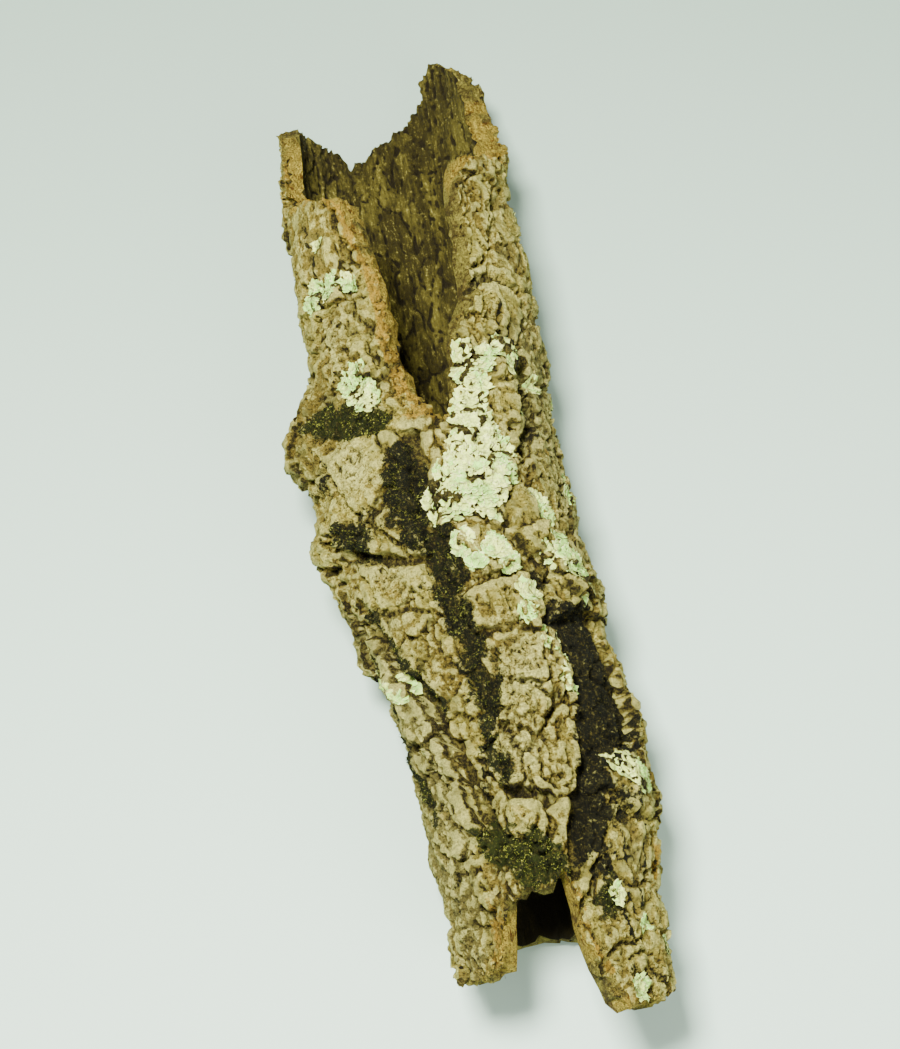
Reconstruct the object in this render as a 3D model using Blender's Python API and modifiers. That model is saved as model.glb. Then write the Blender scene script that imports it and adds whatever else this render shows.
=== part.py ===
"""A cork bark round: the hollow bark of one limb of a cork oak, lying down, with lichen on it.

The log lies along Y, its two-legged lower end at -Y and its notched upper end at +Y.
A place on the bark is given unrolled, as (around, along): around in degrees from the
top of the log, positive towards +X, and along in millimetres from the lower tip.
Heights and depths of the relief are in millimetres, outwards from the smooth log.
"""

import bpy
import bmesh
import numpy as np
from mathutils import Vector, noise

MM = 0.001
LENGTH = 520.0
WALL = 12.5
MEAN_RADIUS = 56.0
MM_PER_DEGREE = 0.97
MIDDLE_X = -1.6

# Stations of the smooth log: along, middle in x, half width, half height
STATIONS = (
    (-18, 12, 43, 41), (42, 12.5, 46, 43), (92, 13.5, 51, 48), (142, 11.5, 53, 51),
    (182, 5, 54, 52), (222, -1, 55, 53), (282, 0, 57, 54), (342, 3, 55, 53),
    (392, 3, 57, 54), (442, 4, 57, 54), (542, 6, 56, 52),
)

# Number of facets around and along the outside and the bore
OUTSIDE_GRID = (72, 64)
BORE_GRID = (30, 24)
LOG_SPARE = 14.0
BORE_SPARE = 30.0

# The broken rim at the upper end, all the way round: around, along
UPPER_RIM = (
    (-180, 481), (-168, 473), (-156, 467), (-146, 474), (-129, 478), (-108, 476), (-94, 472),
    (-86, 464), (-84, 445), (-82, 426), (-77, 413), (-68, 409), (-57, 408), (-42, 403),
    (-30, 396), (-27, 384), (-25, 372), (-22, 358), (-19.5, 347), (-19, 335), (-18.5, 321),
    (-17.5, 312), (-14, 298), (-9, 286), (-3, 275), (3, 271), (7, 275), (10.5, 293), (13, 316),
    (19, 326), (26, 337), (28, 350), (28.5, 370), (29, 390), (30, 403), (34, 411), (45, 416),
    (62, 424), (80, 434), (90, 450), (97, 474), (106, 498), (118, 511), (130, 518),
    (139, 515), (144, 498), (160, 487),
)

# The broken rim at the lower end, with the arch between the two legs
LOWER_RIM = (
    (-180, 49), (-170, 49), (-154, 47), (-138, 43), (-118, 44), (-100, 41), (-86, 35),
    (-74, 27), (-58, 24), (-46, 26), (-40, 33), (-36, 44), (-32, 54), (-20, 54), (-9, 53),
    (-1, 55), (6, 60), (9, 51), (10, 40), (11, 29), (14, 21), (18, 13), (23, 5), (29, 0),
    (37, 1), (46, 3), (56, 3), (72, 10), (90, 18), (115, 32), (140, 44), (158, 48),
)
RIM_STEP = 6.0
RIM_FLARE = 4.5
RIM_CRUMBLE = 1.3
BREAK_RADII = (18.0, 30.0, 42.0, 50.0, 58.0, 66.0, 92.0)

# Broad lumps: around, along, half size around in mm, half size along, height
LUMPS = (
    (-80, 282, 19, 19, 15), (-84, 300, 13, 14, 5), (-76, 232, 15, 12, 9), (-70, 205, 12, 10, 3),
    (-62, 378, 16, 26, 2), (72, 437, 26, 7, 5), (70, 345, 14, 26, 3), (84, 250, 18, 20, 3),
    (-9, 84, 9, 8, 3), (46, 90, 16, 14, 3), (88, 150, 12, 34, 3), (-66, 150, 10, 26, 3),
)

# Shelves of bark: height, width of their sloping edge, and outline
SHELVES = {
    "shoulder ridge": (4.5, 7, (
        (-10, 214), (-11, 240), (-8, 262), (4, 270), (12, 290), (14, 322), (24, 338), (38, 342),
        (45, 322), (46, 296), (40, 276), (37, 256), (40, 236), (42, 214), (30, 196), (8, 190))),
    "left brow": (4.5, 4, (
        (-14, 262), (-15, 240), (-17, 212), (-28, 210), (-44, 215), (-62, 226), (-74, 240),
        (-66, 262), (-48, 270), (-30, 272))),
    "tongue": (6.5, 4, (
        (20, 206), (30, 214), (46, 214), (58, 204), (60, 192), (54, 182), (46, 181), (38, 190))),
    "middle ridge": (3.5, 8, (
        (-12, 190), (-8, 150), (-24, 128), (-25, 96), (-22, 70), (-6, 58), (6, 60), (12, 78),
        (16, 100), (22, 130), (26, 160), (22, 192))),
    "right leg": (4.0, 5, (
        (20, 96), (30, 104), (48, 107), (62, 103), (70, 84), (74, 50), (72, 8), (24, -12),
        (16, 30), (15, 60))),
    "left ridge": (4.5, 5, (
        (-74, 184), (-66, 186), (-58, 166), (-47, 142), (-40, 112), (-32, 82), (-38, 78),
        (-50, 104), (-60, 134), (-70, 160))),
    "dark hollow": (-9.0, 5, (
        (27, 170), (40, 176), (58, 182), (72, 178), (79, 156), (79, 128), (72, 112), (52, 110),
        (34, 106), (22, 94), (14, 78), (12, 64), (17, 80), (22, 106), (27, 132), (27, 152))),
}

# Furrows and cracks: depth, half width, path
FURROWS = {
    "moss furrow": (7.5, 7, ((-14, 262), (-15, 240), (-15, 212), (-17, 196), (-16, 178),
                             (-17, 162), (-16, 145), (-12, 132))),
    "left fissure": (9.0, 6, ((-67, 198), (-62, 176), (-57, 164), (-48, 150), (-42, 130),
                              (-36, 112), (-34, 100), (-28, 82))),
    "shoulder gap": (9.5, 6, ((50, 300), (46, 286), (49, 270), (42, 256))),
    "middle crack": (5.0, 4, ((30, 176), (24, 164), (19, 152), (16, 135), (15, 116))),
    "mouth": (9.0, 4.5, ((-15, 95), (-8, 93), (2, 89))),
    "left leg crack": (4.5, 4, ((-48, 96), (-43, 84), (-45, 76), (-55, 70))),
    "leg valley": (5.5, 6, ((26, 104), (18, 88), (13, 72), (10, 58))),
    "flange crack": (4.0, 4, ((-38, 390), (-34, 366), (-37, 350))),
    "right cross crack": (4.0, 4, ((24, 337), (38, 346), (56, 342))),
    "brow step": (4.0, 4, ((-62, 222), (-44, 211), (-28, 206), (-18, 207))),
    "back fissure": (6.0, 5, ((150, 60), (138, 130), (146, 190), (132, 260), (140, 330),
                              (128, 400))),
    "side fissure": (6.0, 5, ((-112, 60), (-104, 120), (-116, 190), (-108, 260))),
    "side crack": (5.0, 4.5, ((-128, 300), (-116, 350), (-124, 410), (-118, 462))),
    "right fissure": (6.0, 5, ((104, 40), (112, 100), (102, 150), (108, 210))),
    "shoulder fissure": (5.0, 4.5, ((88, 290), (96, 350), (88, 402))),
    "under fissure": (5.0, 4.5, ((-152, 120), (-160, 200), (-148, 270), (-158, 350))),
}

# Plates seen on the front: around, along, level
FRONT_PLATES = (
    (-45, 378, 2), (-24, 345, 0), (-70, 335, 1), (-45, 329, 2), (-64, 312, 0), (-13, 259, 1),
    (-55, 288, -1), (-41, 251, 2), (-61, 240, 1), (-26, 234, 1), (-40, 200, 0), (-66, 200, -1),
    (-46, 176, 1), (-30, 150, 0), (-72, 178, -1), (-30, 120, 0), (-69, 106, -1), (-88, 84, -1),
    (-28, 98, 0), (5, 152, 1), (7, 176, 1), (-2, 126, 2), (-11, 107, 1), (8, 105, 1),
    (-9, 84, 1), (6, 73, 0), (-15, 63, 0), (-35, 62, 0), (-55, 42, 1), (38, 379, 0),
    (56, 366, 1), (45, 329, 1), (22, 314, 1), (29, 293, 1), (66, 316, 1), (34, 278, 1),
    (12, 260, 1), (16, 232, 1), (71, 275, 0), (56, 246, 1), (31, 217, 1), (4, 203, -1),
    (47, 98, 1), (43, 74, 0), (34, 40, 1), (42, 10, 0), (72, 62, 0), (60, 30, 1),
)
PLATE_SPACING = (34.0, 44.0)
PLATE_CLEARANCE = 24.0
PLATE_LEVELS = (-2.8, 3.4)
PLATE_STRETCH = 0.72
PLATE_WARP = (7.0, 30.0)
PLATE_CRACK = (3.2, 5.0)
PLATE_JITTER = 0.3
PLATE_SEED = 14

# Noise all over the outside: strength, size, octaves and shift
SWELL = (2.0, 42.0, 2, 3.0)
CRUMBS = (1.6, 13.0, 3, 11.0)
RELIEF_LIMITS = (-8.5, 24.0)

# The bore's grooves along the grain, and its swell
GROOVES = (1.5, 11.0, 90.0)
BORE_SWELL = (1.0, 30.0, 2, 5.0)

# Spots that the log rests on: around, along, half size around in mm, half size along
RESTING_SPOTS = ((180, 96, 19, 24), (180, 404, 19, 26))
UNDERSIDE = (0.72, 0.92)
UNDERSIDE_LIMITS = (-6.0, 2.0)
UNDERSIDE_LIFT = 2.4
SPOT_DROP = 1.8

# Lichen crusts: outline of each, in unrolled places
LICHENS = {
    "lichen_shoulder": (
        (14, 306), (28, 306), (40, 304), (36, 290), (34, 276), (38, 262), (39, 246), (34, 230),
        (22, 222), (10, 220), (-7, 221), (-10, 233), (-3, 250), (6, 266), (10, 286)),
    "lichen_left": ((-46, 312), (-34, 312), (-24, 290), (-30, 280), (-42, 284), (-50, 296)),
    "lichen_flange": ((-62, 362), (-46, 364), (-32, 356), (-36, 344), (-52, 348), (-64, 352)),
    "lichen_tongue": ((36, 206), (50, 206), (58, 194), (52, 184), (42, 190)),
    "lichen_leg": ((34, 104), (56, 103), (60, 92), (46, 84), (34, 90)),
}
LICHEN_GAP = 0.6
LICHEN_THICKNESS = 1.8
LICHEN_WAVE = 5.0
LICHEN_LOBE = 11.0
LICHEN_MARGIN = 12.0

# Finish of each part: colour, roughness
BARK_FINISH = ((0.30, 0.25, 0.15), 0.92)
LICHEN_FINISH = ((0.62, 0.68, 0.45), 0.88)


def wrap(degrees):
    """Brings angles into -180 to 180 degrees."""
    return (degrees + 180.0) % 360.0 - 180.0


def smooth(value):
    """A soft step from 0 to 1."""
    value = np.clip(value, 0.0, 1.0)
    return value * value * (3.0 - 2.0 * value)


def section(along):
    """Middle, half width and half height of the smooth log."""
    table = np.array(STATIONS, float).T
    return [np.interp(along, table[0], row) for row in table[1:]]


def place(around, along, out):
    """World positions, in metres, of places on the bark that stand out by some millimetres."""
    middle, half_width, half_height = section(along)
    angle = np.radians(around)
    x = middle - MIDDLE_X + (half_width + out) * np.sin(angle)
    z = half_height + (half_height + out) * np.cos(angle)
    return np.stack([x, along - LENGTH / 2, z], axis=-1) * MM


def rough(around, along, size, octaves, shift=0.0):
    """Seamless noise on the log, with features of about this size in millimetres."""
    angle = np.radians(around)
    radius = MEAN_RADIUS / size
    places = zip(np.sin(angle) * radius + shift, along / size, np.cos(angle) * radius)
    return np.array([noise.fractal(Vector(spot), 1.0, 2.0, octaves) for spot in places])


def layer(around, along, settings):
    strength, size, octaves, shift = settings
    return strength * rough(around, along, size, octaves, shift)


def segments(path):
    return zip(path[:-1], path[1:])


def path_distance(path, around, along):
    """How far places are from a path on the bark, in millimetres."""
    nearest = np.full(around.shape, 1e6)
    for (around_0, along_0), (around_1, along_1) in segments(path):
        across = wrap(around - around_0) * MM_PER_DEGREE
        up = along - along_0
        run = (around_1 - around_0) * MM_PER_DEGREE
        rise = along_1 - along_0
        share = np.clip((across * run + up * rise) / (run * run + rise * rise), 0.0, 1.0)
        nearest = np.minimum(nearest, np.hypot(across - share * run, up - share * rise))
    return nearest


def inside(outline, around, along):
    """True for the places inside a closed outline."""
    found = np.zeros(around.shape, bool)
    turned = wrap(around - outline[0][0])
    for (around_0, along_0), (around_1, along_1) in segments(outline + outline[:1]):
        start = around_0 - outline[0][0]
        crosses = (along_0 > along) != (along_1 > along)
        rise = along_1 - along_0 if along_1 != along_0 else 1.0
        edge = start + (around_1 - around_0) * (along - along_0) / rise
        found ^= crosses & (turned < edge)
    return found


def plates():
    """Middles and levels of the bark's plates: those of the front, and more all over the rest."""
    draw = np.random.default_rng(PLATE_SEED)
    found = list(FRONT_PLATES)
    rows = int((LENGTH + 4 * LOG_SPARE) / PLATE_SPACING[1])
    columns = int(360 * MM_PER_DEGREE / PLATE_SPACING[0])
    for row in range(rows + 1):
        for column in range(columns):
            shift_around, shift_along = draw.uniform(-PLATE_JITTER, PLATE_JITTER, 2)
            around = (column + 0.5 * (row % 2) + shift_around) * 360 / columns - 180
            along = (row + shift_along) * PLATE_SPACING[1] - LOG_SPARE
            level = draw.uniform(*PLATE_LEVELS)
            gaps = [np.hypot(wrap(around - a) * MM_PER_DEGREE, along - b) for a, b, _ in found]
            if min(gaps) > PLATE_CLEARANCE:
                found.append((around, along, level))
    return np.array(found)


def plate_relief(around, along):
    """Each place takes the level of its nearest plate, with a crack between two plates."""
    strength, size = PLATE_WARP
    shifted_around = around + strength * rough(around, along, size, 2, 7.3) / MM_PER_DEGREE
    shifted_along = along + strength * rough(around, along, size, 2, 19.1)
    seeds = plates()
    across = wrap(shifted_around[:, None] - seeds[:, 0]) * MM_PER_DEGREE
    up = (shifted_along[:, None] - seeds[:, 1]) * PLATE_STRETCH
    distance = np.hypot(across, up)
    order = np.argsort(distance, axis=1)
    rows = np.arange(len(around))
    near = distance[rows, order[:, 0]]
    next_near = distance[rows, order[:, 1]]
    depth, width = PLATE_CRACK
    return seeds[order[:, 0], 2] - depth * smooth(1.0 - (next_near - near) / width)


def shelf_relief(around, along):
    relief = np.zeros(around.shape)
    for height, edge, outline in SHELVES.values():
        reach = path_distance(outline + outline[:1], around, along)
        relief += height * smooth(reach / edge) * inside(outline, around, along)
    return relief


def furrow_relief(around, along):
    relief = np.zeros(around.shape)
    for depth, width, path in FURROWS.values():
        dip = -depth * smooth(1.35 * (1.0 - path_distance(path, around, along) / width))
        relief = np.minimum(relief, dip)
    return relief


def lump_relief(around, along):
    relief = np.zeros(around.shape)
    for at_around, at_along, half_around, half_along, height in LUMPS:
        across = wrap(around - at_around) * MM_PER_DEGREE / half_around
        up = (along - at_along) / half_along
        relief += height * np.exp(-0.5 * (across**2 + up**2) * 1.6)
    return relief


def resting(around, along):
    """1 on the spots that the log rests on, fading to 0 around them."""
    share = np.zeros(around.shape)
    for at_around, at_along, half_around, half_along in RESTING_SPOTS:
        across = np.abs(wrap(around - at_around)) * MM_PER_DEGREE / half_around
        up = np.abs(along - at_along) / half_along
        share = np.maximum(share, smooth(2.4 * (1.3 - np.maximum(across, up))))
    return share


def outside_relief(around, along):
    """The bark's whole outer relief."""
    relief = plate_relief(around, along) + shelf_relief(around, along)
    relief += furrow_relief(around, along) + lump_relief(around, along)
    relief += layer(around, along, SWELL) + layer(around, along, CRUMBS)
    relief = np.clip(relief, *RELIEF_LIMITS)
    first, full = UNDERSIDE
    under = smooth((-np.cos(np.radians(around)) - first) / (full - first))
    quiet = np.clip(relief, *UNDERSIDE_LIMITS) - UNDERSIDE_LIFT
    rest = resting(around, along)
    relief = relief * (1 - under) + quiet * under
    relief = relief * (1 - rest) + SPOT_DROP * rest
    beyond = smooth((np.abs(along - LENGTH / 2) - LENGTH / 2) / LOG_SPARE * 1.6)
    return relief * (1 - beyond)


def bore_relief(around, along):
    """The bore's wall, grooved along the grain."""
    strength, size, run = GROOVES
    grain = strength * rough(around, along * size / run, size, 2)
    return -WALL + grain + layer(around, along, BORE_SWELL)


def log_shape(name, grid, spare, relief):
    """A cylinder along the log whose facets follow the relief."""
    columns, rows = grid
    length = LENGTH + 2 * spare
    bpy.ops.mesh.primitive_cylinder_add(vertices=columns, radius=1.0, depth=length)
    log = bpy.context.object
    log.name = log.data.name = name
    mesh = bmesh.new()
    mesh.from_mesh(log.data)
    lengthwise = [edge for edge in mesh.edges if abs(edge.verts[0].co.z - edge.verts[1].co.z) > 1]
    bmesh.ops.subdivide_edges(mesh, edges=lengthwise, cuts=rows - 1)
    spots = np.array([vertex.co for vertex in mesh.verts])
    around = np.degrees(np.arctan2(spots[:, 0], spots[:, 1]))
    along = spots[:, 2] + LENGTH / 2
    for vertex, spot in zip(mesh.verts, place(around, along, relief(around, along))):
        vertex.co = (spot[0], spot[1], max(spot[2], 0.0))
    bmesh.ops.triangulate(mesh, faces=mesh.faces)
    bmesh.ops.recalc_face_normals(mesh, faces=mesh.faces)
    mesh.to_mesh(log.data)
    mesh.free()
    return log


def even_path(rim):
    """The rim as points a few millimetres apart."""
    closed = np.array(rim + ((rim[0][0] + 360, rim[0][1]),), float)
    steps = np.hypot(np.diff(closed[:, 0]) * MM_PER_DEGREE, np.diff(closed[:, 1]))
    run = np.concatenate([[0.0], np.cumsum(steps)])
    count = int(run[-1] / RIM_STEP)
    wanted = np.arange(count) * run[-1] / count
    return np.interp(wanted, run, closed[:, 0]), np.interp(wanted, run, closed[:, 1])


def break_cutter(name, rim, side):
    """A ring that cuts the log off along its broken rim: side is 1 at the upper end, else -1.

    The fracture flares, so that the opening is wider outside than inside, and it is crumbly.
    """
    around, along = even_path(rim)
    count = len(around)
    profile = len(BREAK_RADII)
    bpy.ops.mesh.primitive_torus_add(major_segments=count, minor_segments=profile + 2)
    cutter = bpy.context.object
    cutter.name = cutter.data.name = name
    into_around = np.roll(along, -1) - np.roll(along, 1)
    into_along = -wrap(np.roll(around, -1) - np.roll(around, 1)) * MM_PER_DEGREE
    into_size = np.hypot(into_around, into_along)
    far = LENGTH / 2 + side * (LENGTH / 2 + 2.5 * LOG_SPARE)
    spots = []
    for index in range(count):
        for radius in BREAK_RADII:
            flare = side * RIM_FLARE * smooth((radius - MEAN_RADIUS + WALL) / (2 * WALL))
            crumble = RIM_CRUMBLE * noise.noise(Vector((index * 0.9, radius / 6.0, side * 5.0)))
            push = (flare + crumble) / into_size[index]
            spots.append((around[index] + push * into_around[index] / MM_PER_DEGREE,
                          along[index] + push * into_along[index], radius))
        spots.append((around[index], far, BREAK_RADII[-1]))
        spots.append((around[index], far, BREAK_RADII[0]))
    spots = np.array(spots)
    middle, _, half_height = section(spots[:, 1])
    angle = np.radians(spots[:, 0])
    x = middle - MIDDLE_X + spots[:, 2] * np.sin(angle)
    z = half_height + spots[:, 2] * np.cos(angle)
    for vertex, spot in zip(cutter.data.vertices, np.stack([x, spots[:, 1] - LENGTH / 2, z], 1)):
        vertex.co = spot * MM
    mesh = bmesh.new()
    mesh.from_mesh(cutter.data)
    bmesh.ops.triangulate(mesh, faces=mesh.faces)
    bmesh.ops.recalc_face_normals(mesh, faces=mesh.faces)
    mesh.to_mesh(cutter.data)
    mesh.free()
    return cutter


def cut(piece, cutter):
    boolean = piece.modifiers.new(cutter.name, "BOOLEAN")
    boolean.operation = "DIFFERENCE"
    boolean.object = cutter
    boolean.solver = "EXACT"


def finish(piece, look):
    colour, roughness = look
    material = bpy.data.materials.new(piece.name)
    material.use_nodes = True
    shader = material.node_tree.nodes["Principled BSDF"]
    shader.inputs["Base Color"].default_value = (*colour, 1.0)
    shader.inputs["Roughness"].default_value = roughness
    shader.inputs["Metallic"].default_value = 0.0
    material.diffuse_color = (*colour, 1.0)
    piece.data.materials.clear()
    piece.data.materials.append(material)


def unrolled(spots):
    """Around and along of world positions near the log."""
    along = spots[:, 1] / MM + LENGTH / 2
    middle, half_width, half_height = section(along)
    across = (spots[:, 0] / MM + MIDDLE_X - middle) / half_width
    return np.degrees(np.arctan2(across, (spots[:, 2] / MM - half_height) / half_height)), along


def drop_faces(mesh, outline, margin):
    """Keeps the faces inside an outline, or within a margin of it that waves in and out."""
    around, along = unrolled(np.array([face.calc_center_median() for face in mesh.faces]))
    reach = path_distance(outline + outline[:1], around, along)
    reach = np.where(inside(outline, around, along), reach, -reach)
    wave = LICHEN_WAVE * rough(around, along, LICHEN_LOBE, 2, 31.0)
    outer = [face for face, far in zip(mesh.faces, reach + wave + margin < 0) if far]
    bmesh.ops.delete(mesh, geom=outer, context="FACES")


def drop_scraps(mesh):
    """Leaves one sheet whose border never touches itself at a lone corner."""
    while True:
        pinched = [vertex for vertex in mesh.verts
                   if sum(edge.is_boundary for edge in vertex.link_edges) > 2]
        if not pinched:
            break
        bmesh.ops.delete(mesh, geom=pinched, context="VERTS")
    islands = []
    left = set(mesh.faces)
    while left:
        island = set()
        reached = [next(face for face in mesh.faces if face in left)]
        while reached:
            face = reached.pop()
            if face in island:
                continue
            island.add(face)
            reached += [other for edge in face.edges for other in edge.link_faces]
        left -= island
        islands.append(island)
    kept = max(islands, key=len)
    scraps = [face for face in mesh.faces if face not in kept]
    bmesh.ops.delete(mesh, geom=scraps, context="FACES")


def lichen_crust(name, bark, outline):
    """A thin crust that copies the bark's own facets within an outline, lifted clear of them."""
    crust = bpy.data.objects.new(name, bark.data.copy())
    crust.data.name = name
    mesh = bmesh.new()
    mesh.from_mesh(crust.data)
    mesh.normal_update()
    lifts = [vertex.normal * LICHEN_GAP * MM for vertex in mesh.verts]
    for vertex, lift in zip(mesh.verts, lifts):
        vertex.co += lift
    drop_faces(mesh, outline, LICHEN_MARGIN)
    bmesh.ops.subdivide_edges(mesh, edges=mesh.edges, cuts=1, use_grid_fill=True)
    bmesh.ops.triangulate(mesh, faces=mesh.faces)
    drop_faces(mesh, outline, 0.0)
    drop_scraps(mesh)
    mesh.to_mesh(crust.data)
    mesh.free()
    thick = crust.modifiers.new("Crust", "SOLIDIFY")
    thick.thickness = LICHEN_THICKNESS * MM
    thick.offset = 1.0
    return crust


def move_to(collection, piece):
    for holder in piece.users_collection:
        holder.objects.unlink(piece)
    collection.objects.link(piece)


def build():
    for old in list(bpy.data.objects):
        bpy.data.objects.remove(old, do_unlink=True)
    round_parts = bpy.data.collections.new("cork_bark_round")
    cutters = bpy.data.collections.new("cutters")
    bpy.context.scene.collection.children.link(round_parts)
    bpy.context.scene.collection.children.link(cutters)

    bark = log_shape("cork_bark", OUTSIDE_GRID, LOG_SPARE, outside_relief)
    crusts = [lichen_crust(name, bark, outline) for name, outline in LICHENS.items()]
    bore = log_shape("bore", BORE_GRID, BORE_SPARE, bore_relief)
    lower = break_cutter("lower_break", LOWER_RIM, -1)
    upper = break_cutter("upper_break", UPPER_RIM, 1)
    for cutter in (bore, lower, upper):
        cut(bark, cutter)
        cutter.hide_render = True
        cutter.display_type = "WIRE"
        move_to(cutters, cutter)
    finish(bark, BARK_FINISH)
    move_to(round_parts, bark)
    for crust in crusts:
        finish(crust, LICHEN_FINISH)
        round_parts.objects.link(crust)


build()
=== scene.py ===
# %% [markdown]
# # A cork bark round
#
# This lesson dresses a hollow round of cork oak bark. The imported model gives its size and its
# place: a log that lies along Y, with two legs at its lower end (-Y) and a deep notch at its
# upper end (+Y). Everything is modelled in metres around that frame.

# %% Load the frame
import math
import time

import bpy
import numpy as np
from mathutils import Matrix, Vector, noise


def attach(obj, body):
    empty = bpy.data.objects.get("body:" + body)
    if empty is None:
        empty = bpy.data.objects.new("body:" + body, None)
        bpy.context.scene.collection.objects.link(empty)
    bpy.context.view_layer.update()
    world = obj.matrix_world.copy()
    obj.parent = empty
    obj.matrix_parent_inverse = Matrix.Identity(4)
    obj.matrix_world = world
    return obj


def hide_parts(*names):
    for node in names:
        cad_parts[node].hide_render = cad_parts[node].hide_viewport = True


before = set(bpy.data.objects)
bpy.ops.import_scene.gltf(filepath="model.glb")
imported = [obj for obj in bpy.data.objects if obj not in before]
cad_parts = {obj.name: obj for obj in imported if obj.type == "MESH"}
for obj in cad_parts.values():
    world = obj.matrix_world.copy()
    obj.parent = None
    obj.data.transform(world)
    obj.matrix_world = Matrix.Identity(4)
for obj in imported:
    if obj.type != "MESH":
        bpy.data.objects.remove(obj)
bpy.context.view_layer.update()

# %% [markdown]
# ## Places on the bark
#
# Bark is easiest to describe unrolled, as if it were peeled off and laid flat. A place is then
# (around, along): degrees around the log from its top, positive towards +X, and millimetres
# along it from the tip of the lower end. One could model on a flat sheet and bend it with a
# modifier, but a function from the unrolled place to the real one lets every later step, from
# the relief to the moss, use the same map.

# %% The smooth log under the relief
MM = 0.001
LENGTH = 520.0
WALL = 12.5
MEAN_RADIUS = 56.0
MM_PER_DEGREE = 0.97
MIDDLE_X = -1.6

# Along, middle in x, half width, half height
STATIONS = np.array((
    (-18, 12, 43, 41), (42, 12.5, 46, 43), (92, 13.5, 51, 48), (142, 11.5, 53, 51),
    (182, 5, 54, 52), (222, -1, 55, 53), (282, 0, 57, 54), (342, 3, 55, 53),
    (392, 3, 57, 54), (442, 4, 57, 54), (542, 6, 56, 52)), float)


def section(along):
    """Middle, half width and half height of the smooth log."""
    return [np.interp(along, STATIONS[:, 0], STATIONS[:, column]) for column in (1, 2, 3)]


def place(around, along, out):
    """World positions, in metres, of places that stand out from the smooth log."""
    middle, half_width, half_height = section(along)
    angle = np.radians(around)
    x = middle - MIDDLE_X + (half_width + out) * np.sin(angle)
    z = half_height + (half_height + out) * np.cos(angle)
    return np.stack([x, along - LENGTH / 2, z], axis=-1) * MM


def unroll(spots):
    """Around, along and height off the smooth log of world positions."""
    along = spots[:, 1] / MM + LENGTH / 2
    middle, half_width, half_height = section(along)
    across = spots[:, 0] / MM + MIDDLE_X - middle
    up = spots[:, 2] / MM - half_height
    around = np.degrees(np.arctan2(across / half_width, up / half_height))
    share = np.hypot(across / half_width, up / half_height)
    return around, along, (share - 1.0) * (half_width + half_height) / 2


def wrap(degrees):
    """Brings angles into -180 to 180 degrees."""
    return (degrees + 180.0) % 360.0 - 180.0


def smooth(value):
    """A soft step from 0 to 1."""
    value = np.clip(value, 0.0, 1.0)
    return value * value * (3.0 - 2.0 * value)


print("smooth log:", len(STATIONS), "stations over", LENGTH, "mm")

# %% [markdown]
# ## Tools for relief
#
# Bark has features of every size. Noise gives the swells and crumbs that follow no plan, cells
# give the plates and blocks that it cracks into, paths give the furrows that can be pointed
# at, and closed outlines give the shelves that stand proud of the rest. Each tool takes arrays
# of places and gives back one number for each, so a whole log is shaped at once.


# %% Noise and cells on the log
NOISE_SEED = 5                          # without a seed, noise_vector starts from the clock
BEND_RATE = 0.6                         # how fast a net of cells bends, in bends per cell
noise.seed_set(NOISE_SEED)


def drum(around, along):
    """Places on a straight drum of the mean radius, in mm: noise read there has no seam."""
    angle = np.radians(around)
    return np.stack([np.sin(angle) * MEAN_RADIUS, along, np.cos(angle) * MEAN_RADIUS], axis=-1)


def rough(around, along, size, octaves, shift=0.0, run=1.0):
    """Noise with grains of this size in mm, stretched along the log by run."""
    spots = drum(around, along) / (size, size * run, size) + (shift, 0, 0)
    return np.array([noise.fractal(spot, 1.0, 2.0, octaves) for spot in spots.tolist()])


def layer(around, along, settings):
    strength, size, octaves, shift = settings
    return strength * rough(around, along, size, octaves, shift)


def cells(around, along, size, run=1.0, shift=0.0, warp=0.0):
    """For each place its cell's number, from 0 to 1, and how far the edge and middle are."""
    spots = drum(around, along) / (size, size * run, size) + (shift, 0, 0)
    bends = [noise.noise_vector(spot) for spot in (spots * BEND_RATE).tolist()]
    spots = spots + warp * np.array(bends)
    found = [noise.voronoi(spot) for spot in spots.tolist()]
    number = np.array([noise.cell(points[0]) for _, points in found])
    gap = np.array([reach[1] - reach[0] for reach, _ in found]) * size
    middle = np.array([reach[0] for reach, _ in found])
    return number, gap, middle


print("noise at the top of the log:", rough(np.zeros(1), np.zeros(1), 10.0, 3).round(3))


# %% Paths and outlines
def segments(path):
    return zip(path[:-1], path[1:])


def path_distance(path, around, along):
    """How far places are from a path on the bark, in millimetres."""
    nearest = np.full(around.shape, 1e6)
    for (around_0, along_0), (around_1, along_1) in segments(path):
        across = wrap(around - around_0) * MM_PER_DEGREE
        up = along - along_0
        run = (around_1 - around_0) * MM_PER_DEGREE
        rise = along_1 - along_0
        share = np.clip((across * run + up * rise) / (run * run + rise * rise), 0.0, 1.0)
        nearest = np.minimum(nearest, np.hypot(across - share * run, up - share * rise))
    return nearest


def inside(outline, around, along):
    """True for the places inside a closed outline."""
    found = np.zeros(around.shape, bool)
    turned = wrap(around - outline[0][0])
    for (around_0, along_0), (around_1, along_1) in segments(outline + outline[:1]):
        start = around_0 - outline[0][0]
        crosses = (along_0 > along) != (along_1 > along)
        rise = along_1 - along_0 if along_1 != along_0 else 1.0
        edge = start + (around_1 - around_0) * (along - along_0) / rise
        found ^= crosses & (turned < edge)
    return found


def reach_inside(outline, around, along):
    """Distance from an outline in mm, above 0 inside it and below 0 outside."""
    reach = path_distance(outline + outline[:1], around, along)
    return np.where(inside(outline, around, along), reach, -reach)


def blob(spots, around, along):
    """The sum of soft round spots: around, along, half sizes in mm, and height."""
    total = np.zeros(around.shape)
    for at_around, at_along, half_around, half_along, height in spots:
        across = wrap(around - at_around) * MM_PER_DEGREE / half_around
        up = (along - at_along) / half_along
        total += height * np.exp(-0.8 * (across**2 + up**2))
    return total


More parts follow.
